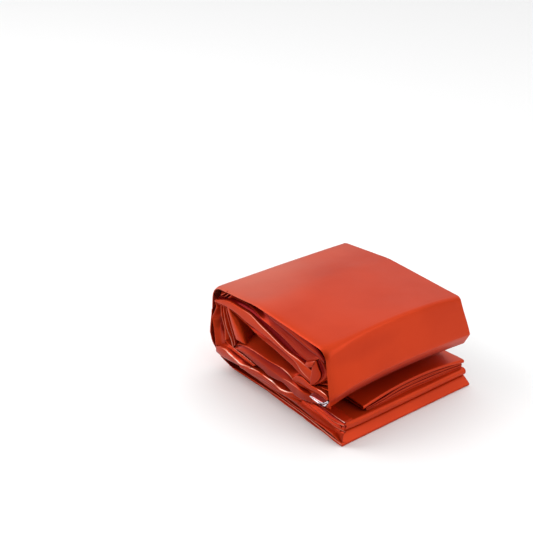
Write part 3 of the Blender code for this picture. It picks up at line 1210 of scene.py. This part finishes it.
PLEATS = creased(
    "pleats",
    Crease("root", ((-44, 46.6, 42), (-43, 46.6, 38.2), (-43, 46.4, 34.8), (-43, 45.4, 31.6),
        (-43.6, 44.6, 28.4), (-44, 44.4, 24.8), (-44.4, 44.2, 21))),
    Crease("first ridge", ((-49, 45.1, 42), (-49, 45.3, 38.2), (-49, 44.9, 34.8),
        (-49, 43.5, 31.7), (-49, 42.3, 28.7), (-49, 42.1, 25), (-49, 42.1, 21.3)),
        painted_light=(0.2, 0.3, 0.4, 0.5, 0.4, 0.3, 0.2)),
    Crease("first valley", ((-44, 44, 42.2), (-44, 43.8, 38.4), (-46, 43, 34.6), (-46.4, 42, 31.2),
        (-45.6, 40.8, 28), (-44.4, 39.6, 24.6), (-44.4, 39, 21)), painted_darkening=(1, 0.7, 0.5, 0.8, 1)),
    Crease("second ridge", ((-49.7, 42.1, 42.8), (-49.7, 42, 38.5), (-49.7, 41.1, 34.6),
        (-49.7, 40.1, 30.8), (-49.7, 38.2, 27.5), (-49.7, 35.9, 24.4), (-49.7, 34.1, 21)),
        painted_light=(0.2, 0.3, 0.4, 0.5, 0.7, 0.9, 1)),
    Crease("second valley", ((-45, 41.4, 42.6), (-45, 40.8, 38.6), (-44, 39.6, 35),
        (-43, 38.4, 31.4), (-43, 36.8, 28.2), (-44, 35, 25), (-46, 33.8, 21.4)),
        painted_darkening=(0.9, 0.7, 1, 1, 0.8)),
    Crease("third ridge", ((-49.4, 40.4, 42.5), (-49.4, 39.8, 38.7), (-49.4, 38.4, 35.4),
        (-49.4, 36.9, 32.2), (-49.4, 35.4, 28.9), (-49.4, 33.9, 25.6), (-49.4, 33, 22)),
        painted_light=(0.2, 0.3, 0.4, 0.5, 0.6, 0.6, 0.4)),
    Crease("third valley", ((-46.4, 39.4, 42.4), (-46, 38.9, 39), (-45, 37.9, 36), (-45, 36.6, 33),
        (-45, 35.2, 30.2), (-45.4, 33.9, 27.2), (-46, 32.8, 24)), painted_darkening=(0.5, 0.7, 0.9, 1, 1)),
    Crease("leaf's near edge", ((-49.4, 38.8, 42.5), (-49.4, 37.8, 39.5), (-49.4, 36.6, 36.8),
        (-49.4, 35.4, 34), (-49.4, 34.2, 31.4), (-49.4, 33, 28.9), (-49.2, 31.8, 26.4)),
        painted_light=(0.2, 0.3, 0.4, 0.4, 0.3, 0.2)),
    Crease("leaf's face", ((-49.8, 37, 43.2), (-50, 35.2, 40.4), (-50.1, 33.4, 37.8),
        (-50.1, 31.4, 35.4), (-50.1, 29.6, 32.8), (-50, 28, 30), (-49.6, 26.6, 27)), soft=0.4),
    Crease("leaf's far edge", ((-48.6, 36.2, 41.9), (-48.6, 33.6, 39.7), (-48.6, 30.9, 37.6),
        (-48.6, 28.7, 35.2), (-48.6, 26.8, 32.6), (-48.8, 25.3, 29.7), (-49, 23.7, 26.6)),
        soft=0.2),
    Crease("inside", ((-38, 38, 42), (-34, 35, 41), (-32, 32, 39), (-32, 30, 36), (-34, 28, 32),
        (-38, 27, 29), (-42, 25, 26)), painted_darkening=(1, 1)),
    bulge=0.1, ripple=0.12, seed=14, rub=0.7, depth=5, tone=0,
)

LOWER_PILLOW = creased(
    "bulging film under the pleats",
    Crease("root", ((-44, 51, 14.4), (-44, 46, 18), (-44, 41, 19.6), (-44, 37, 19),
        (-44, 33, 17.6), (-44, 29, 16.4), (-44, 25, 15.8), (-44, 20, 15.4))),
    Crease("top edge", ((-47.8, 51.4, 13.8), (-48.2, 45.9, 16.7), (-48.4, 40.8, 17.8),
        (-48, 36.8, 17.1), (-47.6, 32.9, 16.3), (-47.6, 28.9, 15.5), (-47.8, 24.8, 15),
        (-48.4, 20.4, 15)), soft=0.2, painted_darkening=(0, 0, 0.6, 0.9, 0.9, 0.9, 0.8)),
    Crease("glint", ((-48.8, 49.8, 13.6), (-49.8, 44.5, 16.2), (-50, 39.9, 16.9), (-50, 37.2, 16),
        (-50, 34, 15.3), (-49.9, 30.9, 14.4), (-49.9, 27.8, 13.7), (-49.8, 23.6, 14.4),
        (-49.4, 19.3, 15.4)), soft=0.16, painted_light=(0, 0, 0.7, 1.5, 1.8, 1.4, 1.8, 1.5, 0.9, 0.2)),
    Crease("foot", ((-47.6, 51.4, 9.6), (-48, 47.2, 9.4), (-48.2, 43.2, 9.6), (-48.3, 39.2, 10),
        (-48.4, 35.3, 10.4), (-48.4, 31.4, 10.7), (-48.4, 27.6, 11), (-48.4, 23.8, 11)), soft=0.2,
        tuck=4, painted_darkening=(0.8, 0.6, 0.4)),
    bulge=0.4, ripple=0.25, seed=23, rub=0.75,
)

FINE_LEAVES = creased(
    "fine leaves beside it",
    Crease("root", ((-44, 41, 22), (-44, 36, 21.2), (-44, 31, 20.4), (-44, 25.6, 19.6),
        (-44, 20, 18.8), (-44, 15.4, 17.8))),
    Crease("first", ((-49.2, 41.2, 21.2), (-49.4, 35.9, 20.6), (-49.4, 30.9, 19.9),
        (-49.4, 25.6, 19.5), (-49.4, 20.7, 18.7), (-49, 16.2, 17.5)), soft=0.12, tuck=2,
        painted_light=(0.1, 0.2, 0.6, 0.8, 0.6, 0.2)),
    Crease("second", ((-48.6, 39.4, 18.9), (-48.8, 35.3, 18.2), (-48.8, 31.3, 17.6),
        (-48.8, 27, 17.2), (-48.8, 22.7, 16.8), (-48.6, 18.7, 16)), soft=0.12, tuck=4,
        painted_light=(0, 0.2, 0.3, 0.3, 0.1)),
    bulge=0.08, ripple=0.15, seed=26,
)

LOWER_CRUMPLE = creased(
    "crumpled film over the lower stack",
    Crease("root", ((-45.6, 30, 13), (-45.6, 24, 14.4), (-45.6, 18.5, 15.4), (-45.6, 14, 15.8),
        (-45.6, 10, 16), (-45.6, 6, 15.8), (-45.6, 2, 15.4), (-45.6, -1, 15), (-45.6, -4, 14.4),
        (-45.6, -8, 14), (-45.6, -12.6, 15), (-45.6, -18, 14))),
    Crease("ridge", ((-49, 29.6, 12.4), (-49.5, 23.3, 14), (-49.6, 18.5, 15.1),
        (-49.5, 14.1, 15.6), (-49.4, 10.2, 15.5), (-49.4, 6.3, 15.2), (-49.5, 2.3, 15.1),
        (-49.2, -0.8, 13.9), (-49.1, -3.9, 13.1), (-48.8, -8.2, 13.5), (-48.5, -12.8, 14.7),
        (-46.2, -18, 13.4)), soft=0.14,
        painted_light=(0, 0.1, 1.6, 0.4, 0.1, 0.8, 1.9, 0.5, 1.1, 1.5, 0.2, 0)),
    Crease("face", ((-49, 29, 11.4), (-49.4, 23.4, 12.4), (-49.4, 18.6, 12.8), (-49.4, 14, 13),
        (-49.3, 9.4, 13.2), (-49.2, 5, 13), (-49, 0.6, 12.6), (-48.7, -3, 11.9), (-48.7, -7, 11.6),
        (-48.3, -12, 12), (-46.4, -17.4, 11.6)), soft=0.35),
    Crease("foot", ((-48.2, 29.8, 10), (-48.4, 24.2, 10.4), (-48.4, 19, 10.3), (-48.3, 13.8, 10.4),
        (-48.2, 8.6, 10.7), (-48.2, 3.5, 10.8), (-48.1, -1.3, 10.5), (-48, -6.4, 10.1),
        (-47.8, -11.8, 9.7), (-46.6, -17.6, 9.2)), soft=0.2, tuck=4),
    bulge=0.3, ripple=0.4, seed=29, rub=0.6,
)

LOWER_LEAVES = creased(
    "left edges of the lower stack",
    Crease("root", ((-42, -14, 17.4), (-42, -24, 17.2), (-42, -34, 16.6), (-42, -49, 15))),
    Crease("broad leaf", ((-46.8, -14, 17), (-46.8, -22.1, 16.4), (-46.8, -27.7, 16),
        (-46.8, -33.2, 15.7), (-46.8, -38.6, 15.4), (-46.8, -43.8, 14.9), (-46.4, -48.6, 14.4)),
        soft=0.08, tuck=1.2, painted_light=(0, 0.1, 0.1, 0.15, 0.2, 0.6, 1.9)),
    Crease("shaded face", ((-46, -15, 15.6), (-46, -22.4, 15.2), (-46, -28, 14.8),
        (-46, -33.2, 14.4), (-46, -38.4, 13.8), (-46, -43.6, 13.4), (-46, -48.6, 13.2)), soft=0.3,
        painted_darkening=(0.7, 0.9, 1, 1, 0.9, 0.7)),
    Crease("lower leaf", ((-47.2, -15, 14.8), (-47.2, -22.6, 14.5), (-47.2, -28, 14.1),
        (-47.2, -33.1, 13.4), (-47.2, -37.9, 12.3), (-47.1, -43.1, 12), (-46.6, -48.6, 12.6)),
        soft=0.12, tuck=1.8, painted_light=(0, 0.1, 0.2, 0.2, 0.3, 0.5, 0.9)),
    Crease("fine leaf", ((-47.1, -12, 12.7), (-47.1, -20.3, 12.5), (-47.1, -26.4, 12),
        (-47.1, -32.1, 11.2), (-47.1, -37.7, 10.3), (-47, -43.2, 9.5), (-46.6, -48.8, 9.6)),
        soft=0.12, tuck=1.5, painted_light=(0, 0.1, 0.2, 0.2, 0.3, 0.5, 0.6)),
    Crease("band's top", ((-46.8, -4, 11), (-47, -12, 10.9), (-47, -21.1, 10.2), (-47, -26.7, 9.5),
        (-47, -32.1, 8.6), (-47, -37.4, 7.7), (-46.9, -42.9, 7.1), (-46.6, -48.6, 8)), soft=0.15),
    Crease("band's face", ((-47.2, -4, 9.9), (-47.3, -12, 9.6), (-47.3, -20.7, 8.6),
        (-47.3, -26.4, 7.7), (-47.3, -31.9, 6.8), (-47.3, -37.3, 5.8), (-47.2, -42.8, 5),
        (-46.8, -48.2, 5.4)), soft=0.4),
    Crease("band's foot", ((-46.9, -4, 8.7), (-46.8, -13, 8.1), (-46.8, -19.7, 7.3),
        (-46.8, -25.4, 6.3), (-46.8, -30.9, 5.1), (-46.6, -36.3, 3.8), (-46.4, -41.6, 2.7),
        (-46.2, -47.4, 2.4)), soft=0.2, tuck=4.6),
    bulge=0.1, ripple=0.1, seed=32, tone=0.4,
)

FLOOR_EDGE = creased(
    "folded edge of the floor",
    Crease("root", ((-38, 40, 1.6), (-38, 24, 1.3), (-38, 8, 1.2), (-38.6, -8, 1.2),
        (-40, -24, 1.2), (-42, -38, 1.1), (-43, -46, 1))),
    Crease("top", ((-42.6, 42, 2.2), (-42, 26, 1.5), (-41.9, 10, 1.2), (-42.5, -6, 1.2),
        (-43.6, -22, 1.2), (-45.2, -36, 1.1), (-46.2, -47, 1)), soft=0.1,
        painted_light=(0.1, 0.3, 0.4, 0.6, 0.9, 0.6)),
    Crease("bottom", ((-42.8, 42, 1.4), (-42.1, 26, 0.6), (-42, 10, 0.4), (-42.6, -6, 0.4),
        (-43.7, -22, 0.4), (-45.3, -36, 0.4), (-46.3, -47, 0.4)), soft=0.1),
    Crease("under it", ((-38, 40, 1), (-38, 24, 0.4), (-38, 8, 0.4), (-38.6, -8, 0.4),
        (-40, -24, 0.4), (-42, -38, 0.4), (-43, -46, 0.4))),
    bulge=0.05, ripple=0.1, seed=34, rub=0.5,
)

SMOOTH_BAND = creased(
    "band over the floor, towards the back",
    Crease("root", ((-40, -6, 11), (-40, 10, 11), (-40, 24, 11), (-40, 38, 11.4), (-40, 49, 12))),
    Crease("top", ((-46.6, -6, 10.9), (-46.9, 6, 10.8), (-46.6, 18, 10.4), (-46.6, 30, 10.4),
        (-46.4, 40, 10.8), (-46, 50, 11.6)), soft=0.2),
    Crease("face", ((-47, -6, 9.4), (-47, 6, 9.2), (-46.4, 18, 8.9), (-46, 30, 8.8),
        (-45.6, 40, 9.2), (-45.4, 49.4, 10)), soft=0.4),
    Crease("foot", ((-46.6, -6, 8.3), (-46.2, 6, 7.6), (-45.4, 18, 7), (-44.8, 30, 6.6),
        (-44, 40, 7), (-44, 49, 8)), soft=0.2, tuck=5),
    bulge=0.2, ripple=0.15, seed=35,
)

UPRIGHT_PANEL = creased(
    "upright panel behind the ridge",
    Crease("root", ((-46, -28, 39.6), (-46, -27.6, 36.6), (-46, -27.4, 33), (-47, -27.4, 28))),
    Crease("near edge", ((-50.5, -29.8, 39.8), (-50.5, -28.9, 36.4), (-50.5, -28.5, 33.2),
        (-50.5, -28, 30.2), (-50.5, -28.3, 27.4)), soft=0.1, painted_light=(0.2, 0.3, 0.2, 0.1, 0)),
    Crease("fold", ((-50.1, -31.6, 41.8), (-50.1, -33, 38.8), (-50.1, -34.8, 36),
        (-50.1, -33.6, 32.2), (-50.1, -30, 28)), soft=0.16, tuck=1, painted_light=(0.1, 0.1, 0)),
    Crease("shadow", ((-48.8, -32.2, 42.4), (-48.6, -34.2, 39.8), (-48.8, -35.8, 36.4),
        (-49.2, -34.2, 32), (-49.8, -30, 27.8)), soft=0.3, painted_darkening=(0.9, 1, 0.5, 0)),
    Crease("far edge", ((-48.8, -33.2, 43.2), (-48.8, -36, 40.6), (-48.8, -38.2, 37),
        (-48.8, -35.4, 32), (-49.6, -30.2, 27.6)), soft=0.2, painted_darkening=(0.6, 0.7, 0.3, 0)),
    Crease("inside", ((-45, -35, 44.6), (-45, -38, 41), (-45, -39.4, 37), (-45, -37, 32),
        (-46, -31, 27.6))),
    bulge=0.2, seed=38, tone=0.4,
)

TIP_BACKING = creased(
    "film behind the curled tip",
    Crease("above", ((-47, -20, 41), (-47, -24, 41.4), (-47, -28.6, 42.6), (-47, -32, 43.4))),
    Crease("face", ((-48.4, -19.6, 36), (-48.4, -24, 35.6), (-48.8, -28, 35.6), (-49, -30.4, 36)),
        soft=0.4),
    Crease("below", ((-49.6, -20, 32), (-49.6, -24, 30), (-49.6, -27.4, 28.4), (-49.6, -29, 28))),
    bulge=0.1, seed=40,
)

CURLED_TIP = creased(
    "curled tip of the bright leaf",
    Crease("back", ((-47, -24, 38.4), (-47.5, -27, 39.4), (-48.6, -30.6, 41.4))),
    Crease("top", ((-50, -24.4, 38.2), (-50.5, -27, 39.4), (-50.5, -31.2, 41.6)), soft=0.3,
        painted_light=(0, 0.1, 0.6)),
    Crease("nose", ((-50.8, -24.6, 36.8), (-51.1, -27.2, 37.6), (-50.9, -30.4, 39.4)), soft=0.45),
    Crease("under", ((-50.3, -24.6, 35.6), (-50.4, -27, 36.2), (-50.2, -29.2, 37.6)), soft=0.3,
        painted_light=(0.1, 0.5, 0.3)),
    Crease("inside", ((-47.6, -24.4, 35.6), (-48, -27, 36.2), (-48.4, -29.2, 37.6))),
    bulge=0.1, ripple=0.2, seed=41,
)

FAN_AT_RIDGE = creased(
    "fanned leaves at the ridge's foot",
    Crease("root", ((-46, -31, 31), (-46, -35, 33.4), (-46, -39.4, 35.6))),
    Crease("first", ((-48.6, -31.2, 30.2), (-48.4, -35, 32.4), (-48.2, -39.6, 34.6)), soft=0.12,
        tuck=4.4),
    Crease("second", ((-48.8, -31, 28.8), (-48.6, -35, 30), (-48.4, -39.8, 31.4)), soft=0.12,
        tuck=4.4),
    Crease("third", ((-49, -30.6, 27.6), (-48.8, -35, 27.8), (-48.6, -39.8, 28.2)), soft=0.12,
        tuck=4.4),
    Crease("foot", ((-47.6, -30, 26), (-47.6, -35, 25.6), (-47.6, -40, 25.8))),
    bulge=0.1, ripple=0.15, seed=44, depth=4,
)

TWISTED_FOLDS = creased(
    "twisted folds at the back corner",
    Crease("root", ((-43, 50, 49), (-43, 44, 50), (-43, 38, 50))),
    Crease("first", ((-48.8, 45, 46.6), (-49, 42, 48.8), (-49.2, 39.2, 51.6)), soft=0.12, tuck=2.4,
        painted_light=(0.3, 0.35, 0.1)),
    Crease("second", ((-48.8, 42, 46.8), (-49, 39.4, 49), (-49.2, 36.8, 51.6)), soft=0.12,
        tuck=2.4, painted_light=(0.2, 0.4, 0.1)),
    Crease("third", ((-48.8, 38.6, 47.4), (-49, 36.6, 49.4), (-49.2, 34, 51.6)), soft=0.12,
        painted_light=(0.1, 0.3, 0.1)),
    Crease("other root", ((-45, 33, 47), (-45, 31, 49), (-45, 29, 51)), painted_darkening=(1, 1)),
    bulge=0.1, ripple=0.2, seed=47, tone=0.45,
)

LEFT_FILMS = (
    EDGE_FILM,
    UPPER_LEAVES,
    CORE_FLOOR,
    FRONT_BULGE,
    UNDER_BULGE,
    SPINE_PANEL,
    PLEATS,
    LOWER_PILLOW,
    FINE_LEAVES,
    LOWER_CRUMPLE,
    LOWER_LEAVES,
    FLOOR_EDGE,
    SMOOTH_BAND,
    UPRIGHT_PANEL,
    TIP_BACKING,
    CURLED_TIP,
    FAN_AT_RIDGE,
    TWISTED_FOLDS,
)


# --------------------------------------------------------------------------- front edges

NOSE_SHARE = 0.6  # the share of a leaf's net that bends round its nose
HALF_HEIGHT = 0.40  # half of the height of that bend, as a share of the leaves' pitch
NOSE_WANDER = 0.35  # how far a nose wanders forwards and back along a leaf, in mm
NOSE_WAVE = 14.0  # length of that wander, in mm
HEIGHT_WANDER = 0.12  # how far a leaf wanders up and down, in mm
HEIGHT_WAVE = 11.0  # length of that wander, in mm
STAGGER = 0.25  # how far the noses are staggered, in mm
STAGGER_TURN = 2.4  # how the stagger changes from leaf to leaf, in radians
NET_ALONG = 120  # number of faces along a leaf
NET_AROUND = 10  # number of faces round its nose


@dataclass
class FannedLeaves(FilmPiece):
    """The thin leaves whose edges fan out under the top flap.

    Attributes:
        name: the piece's name.
        count: number of leaves.
        film: thickness of the film in mm.
        left: X of the leaves' left end.
        right: X of their right end.
        depth: how far they reach in under the flap, in mm.
        width: their length in metres; not used.
        lines: lowest edge, highest edge and y of their noses, evenly spaced along them.
    """

    name: str = "fanned_leaves"
    count: int = 5
    film: float = 0.16
    left: float = -27.0
    right: float = 44.0
    depth: float = 9.0
    width: float = 0.072
    lines: tuple[Triple, ...] = (
        (10.9, 12.0, -43.2),
        (9.9, 12.9, -42.6),
        (9.5, 13.8, -41.8),
        (9.2, 14.0, -41.4),
        (8.9, 13.6, -41.4),
        (8.7, 12.8, -41.5),
        (8.5, 11.8, -41.8),
    )

    def fill(self, sheet: bmesh.types.BMesh) -> float:
        """Adds every leaf to the mesh, and gives their area in square metres."""
        places = [partial(self._place, leaf) for leaf in range(self.count)]
        return sum(add_grid(sheet, NET_ALONG, NET_AROUND, place, self._leaf_painted_light) for place in places)

    def _leaf_painted_light(self, along: float, around: float) -> float:
        """The painted light of a leaf: a faint painted highlight at its nose and painted shade
        further in.
        """
        return 0.1 - 1.1 * min(1.0, abs(2.0 * around - 1.0) / NOSE_SHARE)

    def _place(self, leaf: int, along: float, around: float) -> Vector:
        """Places one crossing of a leaf's net.

        Args:
            leaf: which leaf it is, from the lowest.
            along: its place along the leaf, from 0 to 1.
            around: its place round the leaf's nose, from 0 to 1.

        Returns:
            The place in the packet's frame.
        """
        low, high, y = curve_through(self.lines, along)
        pitch = (high - low) / self.count
        x = self.left + (self.right - self.left) * along
        v = 2.0 * around - 1.0
        bend = min(1.0, abs(v) / NOSE_SHARE) * math.pi / 2
        height = HALF_HEIGHT * pitch
        z = low + pitch * (leaf + 0.5) + math.copysign(height * math.sin(bend), v)
        z += HEIGHT_WANDER * wave(x, 5.0 * leaf, 3.0, HEIGHT_WAVE, seed=6.0)
        back = height * (1.0 - math.cos(bend))
        back += self.depth * max(0.0, (abs(v) - NOSE_SHARE) / (1.0 - NOSE_SHARE))
        nose = y + NOSE_WANDER * wave(x, 9.0 * leaf, 0.0, NOSE_WAVE, seed=4.0)
        nose += STAGGER * math.sin(STAGGER_TURN * leaf)
        return to_frame(x, nose + back, z)


# -------------------------------------------------------------------------- turned corner


# On this metallised corner, the darkening set on the upper creases paints a reflection of the
# orange film on its upper face.
TURNED_FILM = creased(
    "turned corner",
    Crease("upper edge", ((-50.3, -27.9, 21.4), (-50.3, -30.8, 24), (-50.3, -33.6, 24.3),
        (-50.3, -36.4, 24.4), (-50.4, -39, 24.6), (-50.6, -41.2, 24.7)), painted_darkening=(1, 1, 1, 1, 0.4)),
    Crease("above the fold", ((-50.9, -28.3, 21.5), (-50.9, -30.8, 22.5), (-50.9, -33.4, 22.4),
        (-50.9, -36, 22.5), (-50.9, -38.8, 22.7), (-50.7, -41.3, 24.5)), soft=0.1,
        painted_darkening=(1, 1, 1, 1, 0.2)),
    Crease("fold", ((-51.2, -28.6, 21.4), (-51.3, -30.9, 22), (-51.4, -33.3, 21.9),
        (-51.4, -35.8, 21.9), (-51.4, -38.4, 22.2), (-50.8, -41.4, 24.3)), soft=0.1),
    Crease("between the stripes", ((-50.9, -28.8, 21.3), (-50.8, -31, 21.5), (-50.7, -33.4, 21.3),
        (-50.7, -36, 21.2), (-50.7, -38.6, 21.5), (-50.5, -41.4, 24.1)), soft=0.1,
        painted_darkening=(0.5, 0.6, 0.6, 0.6, 0.3)),
    Crease("lower edge", ((-51, -29, 21.1), (-51.2, -31.2, 20.9), (-51.3, -33.6, 20.6),
        (-51.3, -36.2, 20.3), (-51.2, -38.8, 20.4), (-50.6, -41.4, 23.8)), soft=0.1),
    Crease("under it", ((-50, -29.2, 20.9), (-50, -31.4, 20.5), (-50, -33.8, 20.2),
        (-50, -36.4, 20), (-50, -38.9, 20.1), (-50, -41.4, 23.4))),
    bulge=0.03, ripple=0.08, seed=50, steps=8, depth=4, tone=0,
)


@dataclass
class TurnedCorner(FilmPiece):
    """The corner of film turned out at the front left, metallised side outwards.

    Attributes:
        slot: the record's material slot that matches its finish.
        node: the CAD node that it stands for.
        name: the piece's name.
        folded: its creased film.
        film: its thickness in mm.
        width: the width in metres that its area is divided by to find a length.
        shortest: the least length in metres that is found.
        share: the least part of that rectangle that the film covers; not used.
    """

    slot: ClassVar[Slot] = Slot.METALLISED
    node: ClassVar[str] = "metallised_corner"
    name: str = "turned_corner"
    folded: CreasedFilm = TURNED_FILM
    film: float = 0.2
    width: float = 0.014
    shortest: float = 0.0101
    share: float = 0.31

    def fill(self, sheet: bmesh.types.BMesh) -> float:
        """Adds the creased film to the mesh, and gives its area in square metres."""
        return self.folded.add_to(sheet)

    def declare(self, piece: bpy.types.Object, area: float) -> None:
        """Works out the length of the rectangle that the film covers, and keeps it nowhere.

        Args:
            piece: the piece; not used.
            area: its area in square metres.
        """
        length = max(self.shortest, area / self.width)


# ---------------------------------------------------------------------------------- studio


@dataclass(frozen=True)
class SoftLight:
    """One soft studio light.

    Attributes:
        name: what it is.
        place: where it stands, in metres.
        size: its width and height in metres.
        power: its strength in watts.
    """

    name: str
    place: Triple
    size: tuple[float, float]
    power: float


@dataclass(frozen=True)
class Studio:
    """Pale floor, soft light and the camera.

    Attributes:
        camera_place: where the camera stands, in the folds' coordinates.
        azimuth: which way it looks, in degrees.
        elevation: how far it looks down, in degrees.
        lens: its focal length in mm.
        sensor: the width of its film in mm.
        floor_size: half of the floor's width in metres.
        floor_colour: the floor's colour.
        floor_roughness: the floor's roughness.
        brightest: the direction of the brightest sky.
        dim_below: how far from that direction the sky is dimmest, as a cosine.
        bright_above: how near it the sky is brightest, as a cosine.
        dim: strength of the dimmest sky.
        bright: strength of the brightest sky.
        aim: the place that the lights face, in metres.
        lights: the lights.
    """

    camera_place: Triple = (-356.76, -371.73, 302.19)
    azimuth: float = -39.1
    elevation: float = 24.78
    lens: float = 74.857
    sensor: float = 36.0
    floor_size: float = 6.0
    floor_colour: Triple = (0.88, 0.88, 0.88)
    floor_roughness: float = 0.8
    brightest: Triple = (0.33, 0.12, 0.93)
    dim_below: float = 0.1
    bright_above: float = 0.95
    dim: float = 0.05
    bright: float = 1.37
    aim: Triple = (0.0, 0.0, 0.03)
    lights: tuple[SoftLight, ...] = (
        SoftLight("back strip", (-0.55, 0.5, 0.62), (0.6, 0.6), 4.2),
        SoftLight("backdrop", (-0.8, 2.2, 0.36), (3.0, 0.6), 11.0),
        SoftLight("front", (0.25, -0.95, 0.45), (1.0, 0.8), 4.6),
    )

    def build(self) -> None:
        """Sets up the floor, world, lights and camera."""
        self._floor()
        self._world()
        for light in self.lights:
            self._lamp(light)
        self._camera()
        bpy.context.scene.view_settings.view_transform = "Standard"

    def _floor(self) -> None:
        """Adds the pale floor."""
        sheet = bmesh.new()
        bmesh.ops.create_grid(sheet, x_segments=1, y_segments=1, size=self.floor_size)
        mesh = bpy.data.meshes.new("floor")
        sheet.to_mesh(mesh)
        sheet.free()
        floor = bpy.data.objects.new("floor", mesh)
        bpy.context.scene.collection.objects.link(floor)
        pale = bpy.data.materials.new("pale floor")
        pale.use_nodes = True
        shader = pale.node_tree.nodes["Principled BSDF"]
        shader.inputs["Base Color"].default_value = (*self.floor_colour, 1.0)
        shader.inputs["Roughness"].default_value = self.floor_roughness
        mesh.materials.append(pale)
        floor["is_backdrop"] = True

    def _world(self) -> None:
        """Fills the studio with soft light, brightest overhead and behind the packet."""
        world = bpy.data.worlds.new("studio")
        world.use_nodes = True
        tree = world.node_tree
        background = tree.nodes["Background"]
        background.inputs["Color"].default_value = (1.0, 1.0, 1.0, 1.0)
        place = tree.nodes.new("ShaderNodeTexCoord")
        facing = tree.nodes.new("ShaderNodeVectorMath")
        facing.operation = "DOT_PRODUCT"
        facing.inputs[1].default_value = Vector(self.brightest).normalized()
        tree.links.new(place.outputs["Generated"], facing.inputs[0])
        ramp = tree.nodes.new("ShaderNodeMapRange")
        ramp.interpolation_type = "SMOOTHSTEP"
        ramp.inputs["From Min"].default_value = self.dim_below
        ramp.inputs["From Max"].default_value = self.bright_above
        ramp.inputs["To Min"].default_value = self.dim
        ramp.inputs["To Max"].default_value = self.bright
        tree.links.new(facing.outputs["Value"], ramp.inputs["Value"])
        tree.links.new(ramp.outputs["Result"], background.inputs["Strength"])
        bpy.context.scene.world = world

    def _lamp(self, light: SoftLight) -> None:
        """Adds one area light that faces the packet.

        Args:
            light: the light.
        """
        lamp = bpy.data.lights.new(light.name, "AREA")
        lamp.shape = "RECTANGLE"
        lamp.size, lamp.size_y = light.size
        lamp.energy = light.power
        holder = bpy.data.objects.new(light.name, lamp)
        bpy.context.scene.collection.objects.link(holder)
        holder.location = light.place
        aim = Vector(self.aim) - Vector(light.place)
        holder.rotation_euler = aim.to_track_quat("-Z", "Y").to_euler()

    def _camera(self) -> None:
        """Adds the camera."""
        lens = bpy.data.cameras.new("camera")
        lens.sensor_width = self.sensor
        lens.lens = self.lens
        camera = bpy.data.objects.new("camera", lens)
        bpy.context.scene.collection.objects.link(camera)
        camera.location = to_frame(*self.camera_place)
        tilt, turn = math.radians(90.0 - self.elevation), math.radians(self.azimuth)
        camera.rotation_euler = (tilt, 0.0, turn)
        bpy.context.scene.camera = camera


def keep_sizes() -> None:
    """Works out the frame's box and the dressed part's box as plain lists."""
    boxes = {"cad": CAD_BOX, "visual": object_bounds()}
    plain = {name: [list(corner) for corner in box] for name, box in boxes.items()}


def main() -> None:
    """Builds every piece in order."""
    logging.basicConfig(level=logging.INFO, format="%(message)s")
    smooth = SMOOTH_FILM.material()
    crumpled = CRUMPLED_FILM.material()
    silver = MetallisedFinish().material()
    FilmStrip("lower_stack", LOWER_STACK, seed=2.0, patches=STACK_PATCHES).build(smooth)
    FilmStrip(
        "outer_wrap",
        OUTER_WRAP,
        spacing=2.5,
        columns=60,
        calm=0.22,
        frill=0.05,
        ease=12,
        curl=1.0,
        seed=4.0,
        patches=WRAP_PATCHES,
    ).build(smooth)
    # The inner turns are painted with shade all over.
    FilmStrip(
        "inner_turns", INNER_TURNS, spacing=6.0, columns=36, seed=6.0, painted_light_level=-0.9
    ).build(smooth)
    CrumpledEnd("left_end", LEFT_FILMS).build(crumpled)
    FannedLeaves().build(smooth)
    TurnedCorner().build(silver)
    Studio().build()
    keep_sizes()


if __name__ == "__main__":
    main()
